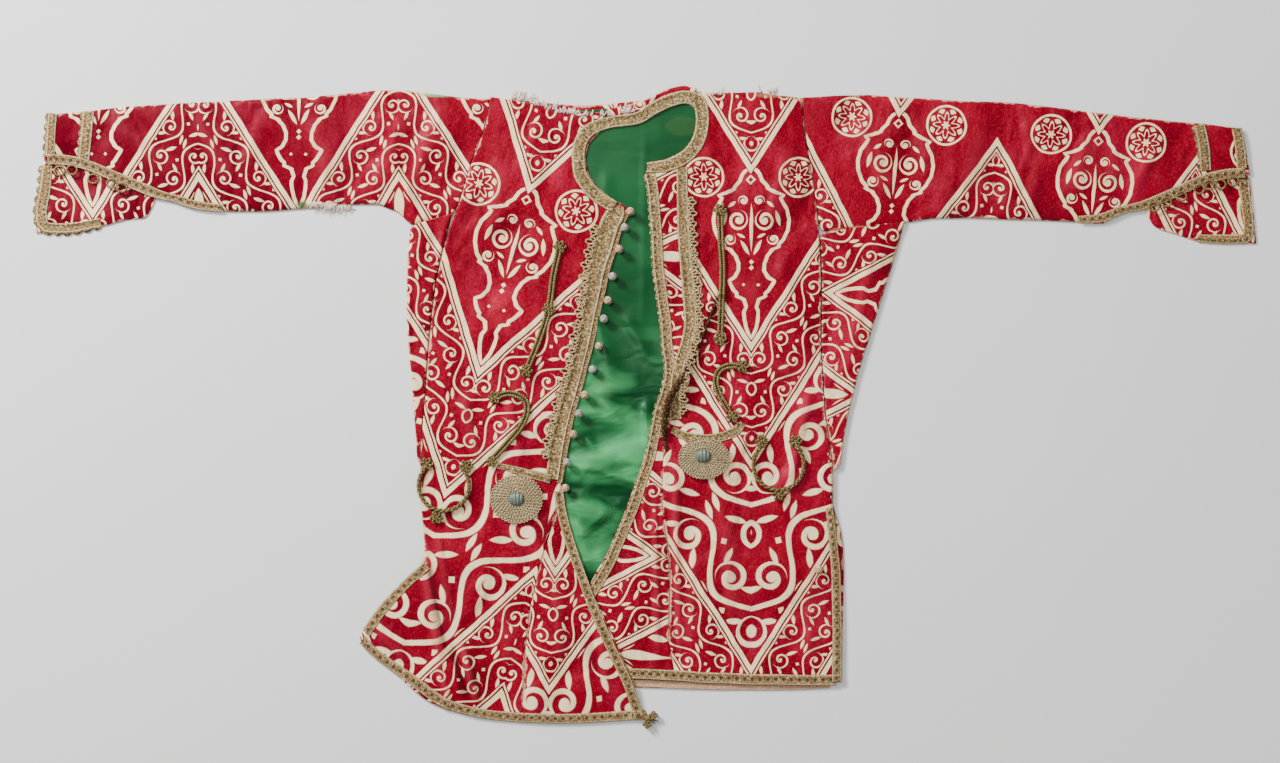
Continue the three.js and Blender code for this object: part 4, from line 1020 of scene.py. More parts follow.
def wall_faces(rows, columns, tube=False):
    """Faces of a closed wall between an outer grid of points and an inner one of the same shape."""
    outer = np.arange(rows * columns).reshape(rows, columns)
    if tube:
        outer = np.hstack([outer, outer[:, :1]])
    inner = outer + rows * columns

    def quads(a, b, c, d):
        return np.stack([a.ravel(), b.ravel(), c.ravel(), d.ravel()], 1)

    faces = [
        quads(outer[:-1, :-1], outer[1:, :-1], outer[1:, 1:], outer[:-1, 1:]),
        quads(inner[:-1, :-1], inner[:-1, 1:], inner[1:, 1:], inner[1:, :-1]),
        quads(outer[0, :-1], outer[0, 1:], inner[0, 1:], inner[0, :-1]),
        quads(outer[-1, 1:], outer[-1, :-1], inner[-1, :-1], inner[-1, 1:]),
    ]
    if not tube:
        faces.append(quads(outer[1:, 0], outer[:-1, 0], inner[:-1, 0], inner[1:, 0]))
        faces.append(quads(outer[:-1, -1], outer[1:, -1], inner[1:, -1], inner[:-1, -1]))
    return np.vstack(faces).tolist()


def solid_mesh(node):
    """The solid of a CAD node with its doubled points merged, and a tree to look through it."""
    mesh = bmesh.new()
    mesh.from_mesh(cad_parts[node].data)
    bmesh.ops.remove_doubles(mesh, verts=mesh.verts[:], dist=1e-6)
    mesh.normal_update()
    return mesh, BVHTree.FromBMesh(mesh)


def plan_outline(mesh, tree):
    """The outline of a solid's upper skin, seen from above, as one loop of points."""
    upper = set()
    for face in mesh.faces:
        start = face.calc_center_median() + Vector((0, 0, 1e-5)) + face.normal * 1e-5
        if face.normal.z > 0.04 and tree.ray_cast(start, Vector((0, 0, 1)))[0] is None:
            upper.add(face)
    following = {}
    for face in upper:
        for loop in face.loops:
            others = [f for f in loop.edge.link_faces if f is not face and f in upper]
            if not others:
                following.setdefault(loop.vert, []).append(loop.link_loop_next.vert)
    longest = []
    while following:
        start = next(iter(following))
        loop, vert = [], start
        while vert in following:
            loop.append(vert)
            nexts = following[vert]
            step = nexts.pop()
            if not nexts:
                del following[vert]
            vert = step
        if len(loop) > len(longest):
            longest = loop
    return np.array([vert.co.xy for vert in longest])


def slices(outline, axis, pitch):
    """Even cuts across an outline: where each stands, and where it enters and leaves."""
    other = 1 - axis
    low, high = outline[:, axis].min(), outline[:, axis].max()
    cuts = np.linspace(low + 1e-4, high - 1e-4, max(4, math.ceil((high - low) / pitch)) + 1)
    following = np.roll(outline, -1, axis=0)
    starts, ends = [], []
    for cut in cuts:
        crossed = (outline[:, axis] <= cut) != (following[:, axis] <= cut)
        a, b = outline[crossed], following[crossed]
        part = (cut - a[:, axis]) / (b[:, axis] - a[:, axis])
        reached = a[:, other] + part * (b[:, other] - a[:, other])
        starts.append(reached.min())
        ends.append(reached.max())
    return cuts, eased(np.array(starts)), eased(np.array(ends))


def eased(values, times=1):
    """A row of values with its corners softened and its ends kept."""
    soft = values.copy()
    for _ in range(times):
        soft[1:-1] = 0.25 * soft[:-2] + 0.5 * soft[1:-1] + 0.25 * soft[2:]
    return soft


def softened(grid, times):
    """A grid of heights with its facets smoothed away."""
    for _ in range(times):
        padded = np.pad(grid, 1, mode="edge")
        grid = (4 * grid + padded[:-2, 1:-1] + padded[2:, 1:-1]
                + padded[1:-1, :-2] + padded[1:-1, 2:]) / 8
    return grid


def crease_height(x, y, creases):
    """Height that soft ridges and troughs add at points given in millimetres."""
    total = np.zeros_like(x)
    for x0, y0, x1, y1, half_width, height in creases:
        dx, dy = x1 - x0, y1 - y0
        part = np.clip(((x - x0) * dx + (y - y0) * dy) / (dx * dx + dy * dy), 0, 1)
        off = np.hypot(x - x0 - part * dx, y - y0 - part * dy)
        side = 1 + 0.35 * np.sign(dx * (y - y0) - dy * (x - x0))
        fade = np.clip(np.sin(np.pi * np.clip(part, 0.02, 0.98)) * 1.6, 0, 1)
        total += height * fade * np.exp(-(off / (half_width * side)) ** 2)
    return total


def small_wrinkles(name, x, y, count):
    """Seeded short wrinkles spread over the reach of the given points."""
    dice = random.Random(name)
    made = []
    for _ in range(count):
        angle = dice.gauss(math.pi / 2, 0.7)
        length = dice.uniform(22, 80)
        cx, cy = dice.uniform(x.min(), x.max()), dice.uniform(y.min(), y.max())
        ax, ay = math.cos(angle) * length / 2, math.sin(angle) * length / 2
        height = dice.choice((1, 1, -1)) * dice.uniform(0.3, 1.1)
        made.append((cx - ax, cy - ay, cx + ax, cy + ay, dice.uniform(4, 11), height))
    return made


# In metres: how far before its end a lap begins, how far inside the rim heights are read, and
# how far from the rim creases have faded out.
LAP_REACH, RIM_INSET, CREASE_MARGIN = 0.03, 0.0012, 0.012
# The height of a doubled piece along its folds, in metres.
FOLDED_EDGE = 1.6 * MM


def plan_grid(node, axis, pitch, wrinkles):
    """Points over a solid's upper skin: x, y and height, smoothed, creased and tucked."""
    mesh, tree = solid_mesh(node)
    outline = plan_outline(mesh, tree)
    mesh.free()
    cuts, starts, ends = slices(outline, axis, pitch)
    lap, side_lap = LAPS.get(node, (0, 0))
    cuts += lap * MM * np.clip((cuts - cuts[-1]) / LAP_REACH + 1, 0, 1)
    ends += side_lap * MM
    widths = ends - starts
    columns = max(6, math.ceil(widths.max() / pitch))
    share = np.linspace(0, 1, columns + 1)
    reach = starts[:, None] + widths[:, None] * share[None, :]
    steps = np.repeat(cuts[:, None], columns + 1, axis=1)
    x, y = (steps, reach) if axis == 0 else (reach, steps)
    if node in TUCKED:
        fold_columns(x, y)
    centre_x, centre_y = x.mean(), y.mean()
    heights = np.empty_like(x)
    for index in np.ndindex(x.shape):
        inward = np.array([centre_x - x[index], centre_y - y[index]])
        inward *= RIM_INSET / max(1e-9, np.hypot(*inward))
        start = Vector((x[index] + inward[0], y[index] + inward[1], LOOK_FROM))
        hit = tree.ray_cast(start, DOWN)[0]
        if hit is None:
            hit = tree.find_nearest(Vector((x[index], y[index], 0.01)))[0]
        heights[index] = hit.z
    heights = softened(heights, 8)
    table_x, table_y = x / MM - SHIFT[0], y / MM - SHIFT[1]
    creases = CREASES.get(node, []) + small_wrinkles(node, table_x, table_y, wrinkles)
    height = crease_height(table_x, table_y, creases)
    along_edge = np.minimum(share, 1 - share)[None, :] * widths[:, None]
    across_edge = np.minimum(cuts - cuts[0], cuts[-1] - cuts)[:, None] + 0 * along_edge
    rim = np.minimum(along_edge, across_edge)
    heights += height * np.clip(along_edge / CREASE_MARGIN, 0, 1) * MM
    if node in TUCKED:
        x, heights = tucked(x, y, heights)
    x, y = pulled(x, y)
    return x, y, heights, rim, height * MM, widths.max(), cuts[-1] - cuts[0]


def tuck_x(y):
    """Where the tuck's edge stands at a height on the front, in metres."""
    line = in_frame(TUCK_LINE)[::-1]
    return np.interp(y, line[:, 1], line[:, 0], left=np.nan, right=np.nan)


def pulled(x, y):
    """Plan coordinates in metres, drawn a little aside where the laid cloth strays."""
    moved_x, moved_y = x + 0, y + 0
    for at_x, at_y, dx, dy, reach_x, reach_y in PULLS:
        off_x = (x / MM - SHIFT[0] - at_x) / reach_x
        off_y = (y / MM - SHIFT[1] - at_y) / reach_y
        pull = np.exp(-(off_x ** 2 + off_y ** 2))
        moved_x = moved_x + pull * dx * MM
        moved_y = moved_y + pull * dy * MM
    return moved_x, moved_y


def fold_columns(x, y):
    """Moves two columns of each row onto either side of the tuck's edge."""
    for row in range(len(x)):
        edge = tuck_x(y[row, 0])
        inside = x[row, 0] < edge < x[row, -1]
        column = int(np.searchsorted(x[row], edge)) if inside else -1
        if 1 < column < x.shape[1] - 2:
            x[row, column - 1] = edge - 0.0002
            x[row, column] = edge + 0.0002


def tucked(x, y, heights):
    """The cloth left of the tuck's edge raised, and carried over the cloth on its right."""
    edges = tuck_x(y)
    line = in_frame(TUCK_LINE)
    ends = np.minimum(y - line[-1, 1], line[0, 1] - y) / TUCK_FADE
    fade = np.nan_to_num(np.clip(ends, 0, 1))
    behind = np.nan_to_num(edges - x, nan=1.0) / MM
    near = (behind > 0) * np.clip(1 - behind / TUCK_REACH, 0, 1)
    carried = (behind > 0) * np.clip(1 - behind / TUCK_CARRIED, 0, 1)
    roll = (behind > 0) * np.clip(1 - behind / TUCK_ROLL, 0, 1)
    heights = heights + (TUCK_RISE * near ** 1.2 - 0.5 * roll) * fade * MM
    return x + carried * TUCK_OVERHANG * fade * MM, heights


def ornament_place(node, points):
    """Where points lie on the woven ornament of their piece, in metres."""
    x0, y0, turn, scale = ORNAMENT.get(node, (0, 0, 0, 1))
    angle = math.radians(turn)
    dx = points[:, 0] - (x0 + SHIFT[0]) * MM
    dy = points[:, 1] - (y0 + SHIFT[1]) * MM
    u = (dx * math.cos(angle) + dy * math.sin(angle)) / scale
    v = (dy * math.cos(angle) - dx * math.sin(angle)) / scale
    return np.stack([u, v], 1)


def doubled_wall(x, y, top, thick):
    """The outside and the inside of a piece that lies folded double, ring by ring."""
    over = np.stack([x, y, top], 2)
    under = np.stack([x, y, np.zeros_like(top)], 2)
    over[:, 0, 2] = over[:, -1, 2] = FOLDED_EDGE
    outer = np.concatenate([over, under[:, -2:0:-1]], 1)
    toward = outer.mean(axis=1, keepdims=True) - outer
    flat = np.hypot(toward[..., 0], toward[..., 1])[..., None]
    inner = outer.copy()
    inner[..., :2] += toward[..., :2] / np.maximum(flat, 1e-6) * np.minimum(thick, 0.3 * flat)
    columns = over.shape[1]
    inner[:, 1:columns - 1, 2] -= thick
    inner[:, columns:, 2] += thick
    return outer, inner


def lay_cloth(node, material, sizes, axis, doubled, wrinkles=None):
    """A thin shell of cloth on the form of its solid."""
    count = sizes.wrinkles if wrinkles is None else wrinkles
    x, y, top, rim, fold, width, length = plan_grid(node, axis, sizes.pitch, count)
    if doubled:
        outer, inner = doubled_wall(x, y, top, sizes.cloth)
        rim = np.concatenate([rim, rim[:, -2:0:-1]], 1)
        fold = np.concatenate([fold, 0 * fold[:, -2:0:-1]], 1)
    else:
        outer = np.stack([x, y, top], 2)
        inner = np.stack([x, y, np.maximum(top - sizes.cloth, 0)], 2)
    faces = wall_faces(*outer.shape[:2], tube=doubled)
    layers = 2 if doubled else 1
    points = np.concatenate([outer.reshape(-1, 3), inner.reshape(-1, 3)])
    rims = np.stack([rim.ravel(), fold.ravel()], 1)
    piece = mesh_piece(f"cloth_{node}", points, faces, material, ornament_place(node, points),
                       np.vstack([rims, rims]))
    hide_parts(node)
    area = layers * plan_area(x, y)
    flat = (layers * width, length) if width < length else (length, layers * width)
    min(area, 0.999 * flat[0] * flat[1])
    return piece


def plan_area(x, y):
    """Area of a grid of points seen from above."""
    dx1, dy1 = x[1:, 1:] - x[:-1, :-1], y[1:, 1:] - y[:-1, :-1]
    dx2, dy2 = x[1:, :-1] - x[:-1, 1:], y[1:, :-1] - y[:-1, 1:]
    return float(np.abs(dx1 * dy2 - dx2 * dy1).sum() / 2)


class Ground:
    """The pieces that trimmings lie on, looked down upon from above."""

    def __init__(self):
        self.layers = []

    def add(self, piece, cloths):
        """Keeps the shape of a piece, and the cloths that it is or is sewn to."""
        mesh = bmesh.new()
        mesh.from_mesh(piece.data)
        self.layers.append((set(cloths), BVHTree.FromBMesh(mesh)))
        mesh.free()

    def height(self, x, y, cloths=None):
        """The height of what lies uppermost at a place, among all pieces or those sewn to some."""
        highest = 0.0
        for names, tree in self.layers:
            if cloths is None or names & set(cloths):
                hit = tree.ray_cast(Vector((x, y, LOOK_FROM)), DOWN)[0]
                if hit is not None:
                    highest = max(highest, hit.z)
        return highest

    def highest_near(self, x, y, reach):
        """The greatest height at a place and at four places around it."""
        around = [(0, 0), (reach, 0), (-reach, 0), (0, reach), (0, -reach)]
        return max(self.height(x + dx, y + dy) for dx, dy in around)


GROUND = Ground()


def smooth_line(points, pitch):
    """A Catmull-Rom line through points of any number of columns, at an even pitch."""
    table = np.array(points, float)
    padded = np.vstack([2 * table[0] - table[1], table, 2 * table[-1] - table[-2]])
    fine = []
    for i in range(1, len(padded) - 2):
        p0, p1, p2, p3 = padded[i - 1:i + 3]
        t = np.linspace(0, 1, 24, endpoint=False)[:, None]
        fine.append(0.5 * (2 * p1 + (p2 - p0) * t + (2 * p0 - 5 * p1 + 4 * p2 - p3) * t ** 2
                           + (3 * p1 - p0 - 3 * p2 + p3) * t ** 3))
    fine = np.vstack([*fine, table[-1:]])
    travelled = distances(fine[:, :2])
    wanted = np.linspace(0, travelled[-1], max(3, round(travelled[-1] / pitch)) + 1)
    return np.stack([np.interp(wanted, travelled, column) for column in fine.T], 1), wanted


# Across a braid. Columns: place as a share of half its width, height as a share of its thickness.
BRAID_SECTION = [
    (-1.0, 0.35), (-0.86, 0.95), (-0.5, 0.9), (0.0, 0.95), (0.5, 0.9), (0.86, 0.95), (1.0, 0.35),
]


def lay_braid(node, kind, picots, cloths, course, sizes, material):
    """A braid that follows its course on the cloth, with picots along one edge."""
    picot_side, picot_reach, picot_pitch = picots
    line, travelled = smooth_line([(x + SHIFT[0], y + SHIFT[1], w) for x, y, w in course], 1.2)
    normal = normals_of(line[:, :2])
    stations, rise = np.array(BRAID_SECTION).T
    share = np.repeat(stations[None, :], len(line), axis=0)
    wander = np.interp(travelled, *wandering(node, travelled[-1]))
    off = share * line[:, 2:3] / 2 + wander[:, None]
    if picot_side:
        column = -1 if picot_side > 0 else 0
        loops = np.abs(np.sin(np.pi * travelled / picot_pitch)) ** 0.6
        off[:, column] += picot_side * picot_reach * loops
        share[:, column] += picot_side * 0.4 * loops
    x = (line[:, :1] + normal[:, :1] * off) * MM
    y = (line[:, 1:2] + normal[:, 1:] * off) * MM
    x, y = pulled(x, y)
    base = np.array([[GROUND.height(*place, cloths) for place in zip(*row)] for row in zip(x, y)])
    base = np.maximum(base, base.max(axis=1)[:, None] - 0.7 * MM)
    if not set(cloths) & set(TUCKED):
        for _ in range(3):
            base = np.maximum(base, softened(base, 2))
    base += 0.15 * MM
    thick = sizes.braid * (0.75 if kind in ("narrow", "plain") else 1)
    outer = np.stack([x, y, base + thick * rise[None, :]], 2)
    inner = np.stack([x, y, base], 2)
    points = np.concatenate([outer.reshape(-1, 3), inner.reshape(-1, 3)])
    along = np.repeat(travelled[:, None], len(stations), axis=1)
    uv = np.stack([along, off], 2).reshape(-1, 2) * MM
    shares = np.stack([share, share * 0], 2).reshape(-1, 2)
    piece = mesh_piece(f"trim_{node}", points, wall_faces(*x.shape), material,
                       np.vstack([uv, uv]), np.vstack([shares, shares]))
    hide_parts(node)
    return piece


def wandering(name, length):
    """A seeded small sway of a hand-sewn course: distances along it and how far it strays."""
    dice = random.Random(name)
    places = np.arange(0, length + 30, 30)
    return places, np.array([dice.uniform(-0.5, 0.5) for _ in places])


def tufts_of_lace(band, side, low, high, reach, pitch, strand):
    """Trefoils of looped cord that stand out along one side of a band."""
    _, _, _, _, cloths, course = BRAIDS[band]
    line, travelled = smooth_line([(x + SHIFT[0], y + SHIFT[1], w) for x, y, w in course], 1.0)
    normal = normals_of(line[:, :2]) * side
    dice = random.Random(band)
    parts = []
    for step in np.arange(pitch / 2, travelled[-1], pitch):
        i = int(np.searchsorted(travelled, step + dice.uniform(-1, 1)))
        if i >= len(line) or not low < line[i, 1] < high:
            continue
        outward = normal[i]
        along = np.array([-outward[1], outward[0]])
        foot = line[i, :2] + outward * (line[i, 2] / 2 - 1)
        for lean, far, wide in ((0, 1.0, 0.30), (-1, 0.62, 0.26), (1, 0.62, 0.26)):
            turn = np.linspace(-math.pi, math.pi, 18, endpoint=False)
            swell = reach * far * dice.uniform(0.88, 1.08)
            out = swell * (0.5 + 0.5 * np.cos(turn))
            wide_here = wide * reach * np.sin(turn) * (0.45 + 0.55 * np.cos(turn / 2) ** 2)
            sway = lean * (0.30 * reach + 0.22 * out)
            loop = foot + out[:, None] * outward + (wide_here + sway)[:, None] * along
            heights = [GROUND.height(px * MM, py * MM, cloths) for px, py in loop]
            level = max(heights) + (1.0 + 0.25 * abs(lean)) * MM
            heights = level - 0.3 * MM * (out / reach)
            parts.append(tube(np.column_stack([loop * MM, heights]), strand, 6, closed=True))
        knot = foot + outward * reach * 0.22
        level = GROUND.height(*(knot * MM), cloths)
        parts.append(bead(knot[0] * MM, knot[1] * MM, level + 1.1 * MM, 1.6 * MM))
    return parts


def rings_faces(count, sides, closed=False):
    """Faces between rings of points, with a cap at each end unless the rings close up."""
    index = np.arange(count * sides).reshape(count, sides)
    rows = np.vstack([index, index[:1]]) if closed else index
    wrapped = np.hstack([rows, rows[:, :1]])
    quads = [wrapped[:-1, :-1], wrapped[1:, :-1], wrapped[1:, 1:], wrapped[:-1, 1:]]
    faces = np.stack(quads, 2).reshape(-1, 4).tolist()
    return faces if closed else [*faces, index[0].tolist(), index[-1][::-1].tolist()]


def tube(points, radius, sides=8, closed=False):
    """Points, faces and cut coordinates of a round cord along a line of 3-D points."""
    line = np.asarray(points, float)
    radii = np.broadcast_to(np.asarray(radius, float), (len(line),))[:, None, None]
    if closed:
        tangent = unit(np.roll(line, -1, 0) - np.roll(line, 1, 0))
    else:
        tangent = unit(np.gradient(line, axis=0))
    side = np.cross(tangent, (0.0, 0.0, 1.0))
    side[np.linalg.norm(side, axis=1) < 1e-6] = (1.0, 0.0, 0.0)
    side = unit(side)
    up = np.cross(side, tangent)
    angles = np.linspace(0, 2 * math.pi, sides, endpoint=False)
    turn = angles[None, :, None]
    rings = line[:, None] + radii * (side[:, None] * np.cos(turn) + up[:, None] * np.sin(turn))
    uv = np.stack(np.broadcast_arrays(distances(line)[:, None], (angles * MM)[None, :]), 2)
    return rings.reshape(-1, 3), rings_faces(len(line), sides, closed), uv.reshape(-1, 2)


def gather(parts):
    """Several sets of points, faces and cut coordinates as one set."""
    points, faces, uvs, base = [], [], [], 0
    for part_points, part_faces, part_uv in parts:
        points.append(part_points)
        faces.extend([[corner + base for corner in face] for face in part_faces])
        uvs.append(part_uv)
        base += len(part_points)
    return np.vstack(points), faces, np.vstack(uvs)


def twisted_pair(line, strand, pitch=0.013):
    """Two strands of cord twisted about a line of 3-D points."""
    tangent = unit(np.gradient(line, axis=0))
    side = unit(np.cross(tangent, (0.0, 0.0, 1.0)))
    up = np.cross(side, tangent)
    turn = distances(line) * 2 * math.pi / pitch
    parts = []
    for start in (0, math.pi):
        offset = side * np.cos(turn + start)[:, None] + up * np.sin(turn + start)[:, None]
        parts.append(tube(line + offset * np.reshape(strand, (-1, 1)) * 0.86, strand, 8))
    return parts


def floret(x, y, z, radius, strand, loops=6):
    """A knot of cord in round loops, with a bead in the middle."""
    turn = np.linspace(0, 2 * math.pi, loops * 12, endpoint=False)
    reach = (radius - strand) * (0.58 + 0.42 * np.cos(loops * turn))
    sway = turn + 0.32 * np.sin(loops * turn) / loops * 2
    line = np.stack([
        x + reach * np.cos(sway), y + reach * np.sin(sway),
        z + strand + 0.0009 * (1 + np.cos(loops * turn + 1.2)),
    ], 1)
    return [tube(line, strand, 6, closed=True), bead(x, y, z + 1.6 * strand, 0.3 * radius)]


def bead(x, y, z, radius, flatten=0.8):
    """A small round bead."""
    ball = bmesh.new()
    bmesh.ops.create_uvsphere(ball, u_segments=10, v_segments=7, radius=radius)
    points = np.array([vert.co[:] for vert in ball.verts]) * (1, 1, flatten) + (x, y, z)
    faces = [[vert.index for vert in face.verts] for face in ball.faces]
    ball.free()
    return points, faces, points[:, :2]


def disc(x, y, z, radius, stretch, height, sides=48):
    """A flat round pad under a rosette, with a softened rim."""
    turn = np.linspace(0, 2 * math.pi, sides, endpoint=False)
    # From the top down. Columns: share of the radius, share of the height.
    profile = ((0.4, 1.1), (0.92, 1.0), (1.0, 0.7), (1.0, 0.0))
    points = np.vstack([
        np.stack([x + share * radius * np.cos(turn), y + stretch * share * radius * np.sin(turn),
                  np.full_like(turn, z + level * height)], 1)
        for share, level in profile
    ])
    return points, rings_faces(len(profile), sides), points[:, :2]


def deselect():
    """Leaves nothing selected."""
    bpy.ops.object.select_all(action="DESELECT")


def select_points(piece, test):
    """Leaves the piece in edit mode with only the points selected that pass the test."""
    if bpy.context.mode != "OBJECT":
        bpy.ops.object.mode_set(mode="OBJECT")
    bpy.context.tool_settings.mesh_select_mode = (True, False, False)
    for part in (*piece.data.polygons, *piece.data.edges):
        part.select = False
    for vert in piece.data.vertices:
        vert.select = test(vert.co)
    bpy.ops.object.mode_set(mode="EDIT")


# ---------------------------------------------------------------- operators

class ROBE_OT_lining(bpy.types.Operator):
    """Lay the green satin lining of the back"""

    bl_idname = "robe.lining"
    bl_label = "Lining"

    def execute(self, context):
        scene = context.scene
        satin = lining_satin(scene.robe_colours)
        piece = lay_cloth("lining_back", satin, scene.robe_sizes, 1, False,
                          0)
        GROUND.add(piece, ["lining_back"])
        return {"FINISHED"}


class ROBE_OT_cloth(bpy.types.Operator):
    """Lay the back, fronts, gores, sleeves and cuff flaps of figured silk"""

    bl_idname = "robe.cloth"
    bl_label = "Figured Silk"

    def execute(self, context):
        scene = context.scene
        silk = figured_silk(scene.robe_colours, scene.robe_sizes)
        for node, (axis, doubled, rests_on, slot, small) in CLOTH.items():
            piece = lay_cloth(node, silk, scene.robe_sizes, axis, doubled, small)
            GROUND.add(piece, [node])
        return {"FINISHED"}


class ROBE_OT_braids(bpy.types.Operator):
    """Lay every braid and lace on the cloth"""

    bl_idname = "robe.braids"
    bl_label = "Braids"

    def execute(self, context):
        scene = context.scene
        colours, sizes = scene.robe_colours, scene.robe_sizes
        finishes = {kind: braid_finish(kind, colours) for kind in DOT_ROWS}
        for node, (kind, side, reach, pitch, cloths, course) in BRAIDS.items():
            piece = lay_braid(node, kind, (side, reach, pitch), cloths, course, sizes,
                              finishes[kind])
            GROUND.add(piece, cloths)
        lace_cord = cord_finish("lace_cord", colours.gold, colours.bright, colours)
        for band, (side, low, high, reach, pitch) in TUFTED_LACE.items():
            parts = tufts_of_lace(band, side, low, high, reach, pitch, 1.2 * MM)
            parts_piece(f"lace_{band}", parts, lace_cord)
        self.fold_lace(colours)
        return {"FINISHED"}

    def fold_lace(self, colours):
        """The lace that is folded in along the tuck, as a near-black double cord that is part lace
        and part painted shadow in the fold.
        """
        dark = cord_finish("fold_shadow_lace_cord", (0.02, 0.009, 0.004), (0.08, 0.04, 0.016), colours,
                           flecks=0.12, metallic=0.0)
        line, _ = smooth_line(TUCK_LINE[2:], 1.4)
        line = (line + SHIFT) * MM
        line[:, 0] += 0.8 * TUCK_OVERHANG * MM
        heights = np.array([GROUND.height(x, y) for x, y in line])
        heights = np.maximum(heights, eased(heights, 8)) + 0.5 * MM
        along = np.linspace(0, 1, len(line))
        width = np.interp(along, [0, 0.3, 0.55, 0.85, 1], [0.4, 1.4, 2.6, 2.8, 1.2]) * MM
        parts = twisted_pair(np.column_stack([line, heights]), width, 0.018)
        parts_piece("fold_shadow_lace", parts, dark)


class ROBE_OT_cordwork(bpy.types.Operator):
    """Sew down the corded bars, scrolls and rings with their florets"""

    bl_idname = "robe.cordwork"
    bl_label = "Cordwork"

    def execute(self, context):
        scene = context.scene
        colours, strand = scene.robe_colours, scene.robe_sizes.cord
        olive = cord_finish("olive_cord", colours.gold, colours.verdigris, colours)
        for node, (course, knots) in CORDWORK.items():
            ring = RINGS.get(node)
            if ring:
                cx, cy, radius, opening = ring
                turn = np.linspace(math.pi / 2 + opening, 5 * math.pi / 2 - opening, 40)
                course = np.stack([cx + radius * np.cos(turn), cy + radius * np.sin(turn)], 1)
            line, _ = smooth_line(in_frame(course), 1.4 * MM)
            heights = np.array([GROUND.highest_near(x, y, 0.003) for x, y in line])
            heights = np.maximum(heights, eased(heights, 12))
            parts = []
            if ring:
                level = heights + 1.9 * strand
                parts += twisted_pair(np.column_stack([line, level]), 1.05 * strand)
            else:
                level = heights + 1.2 * strand
                for step in (-1, 1):
                    moved = line + normals_of(line) * step * strand * 1.5
                    parts.append(tube(np.column_stack([moved, level]), 1.25 * strand))
            for (x, y), (_, _, radius) in zip(in_frame(knots), knots):
                z = GROUND.highest_near(x, y, 0.006)
                parts += floret(x, y, z + 0.0006, radius * MM * 1.12, strand * 0.9)
            parts_piece(f"cords_{node}", parts, olive, node)
        return {"FINISHED"}


class ROBE_OT_rosettes(bpy.types.Operator):
    """Coil the two corded rosettes about their grooved bosses"""

    bl_idname = "robe.rosettes"
    bl_label = "Rosettes"

    def execute(self, context):
        scene = context.scene
        colours, strand = scene.robe_colours, scene.robe_sizes.cord
        gold = cord_finish("rosette_cord", (0.42, 0.31, 0.15), (0.7, 0.56, 0.32), colours)
        for side, (x, y, radius, stretch, boss_x, boss_y) in ROSETTES.items():
            cx, cy = (x + SHIFT[0]) * MM, (y + SHIFT[1]) * MM
            reach = radius * MM
            base = GROUND.highest_near(cx, cy, 0.6 * reach) + 0.0002
            parts = [disc(cx, cy, base, 0.95 * reach, stretch, 0.0022)]
            for share, loops in COILS:
                turn = np.linspace(0, 2 * math.pi, loops * 12, endpoint=False)
                r = reach * (share - 0.075 + 0.07 * np.cos(loops * turn))
                sway = turn + 0.8 * np.sin(loops * turn) / loops
                z = base + 0.0024 + 0.0005 * np.cos(loops * turn + 1) + 0.0012 * (1 - share)
                line = np.stack([cx + r * np.cos(sway), cy + stretch * r * np.sin(sway), z], 1)
                parts.append(tube(line, 0.5 * strand, 5, closed=True))
            parts_piece(f"cords_rosette_{side}", parts, gold, f"rosette_{side}")
            self.make_boss(side, boss_x + SHIFT[0], boss_y + SHIFT[1], base + 0.0028)
        return {"FINISHED"}

    def make_boss(self, side, x, y, z):
        """The domed boss at a rosette's heart, with grooves across it."""
        deselect()
        bpy.ops.mesh.primitive_uv_sphere_add(segments=40, ring_count=20, radius=1)
        boss = bpy.context.object
        boss.name = f"boss_dome_{side}"
        select_points(boss, lambda co: co.z < -0.15)
        bpy.ops.transform.resize(value=(1, 1, 0), center_override=(0, 0, -0.15))
        select_points(boss, lambda co: co.z > 0.1 and math.cos(co.x * math.pi * 4.5) > 0.3)
        bpy.ops.transform.translate(value=(0, 0, -0.06))
        bpy.ops.mesh.select_all(action="SELECT")
        bpy.ops.transform.resize(value=BOSS_HALF_SIZES, center_override=(0, 0, 0))
        bpy.ops.transform.translate(value=(x * MM, y * MM, z))
        bpy.ops.object.mode_set(mode="OBJECT")
        boss.data.materials.append(boss_thread(f"boss_thread_{side}", x))
        bpy.ops.object.shade_smooth()
        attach(boss, "root")
        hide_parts(f"boss_{side}")


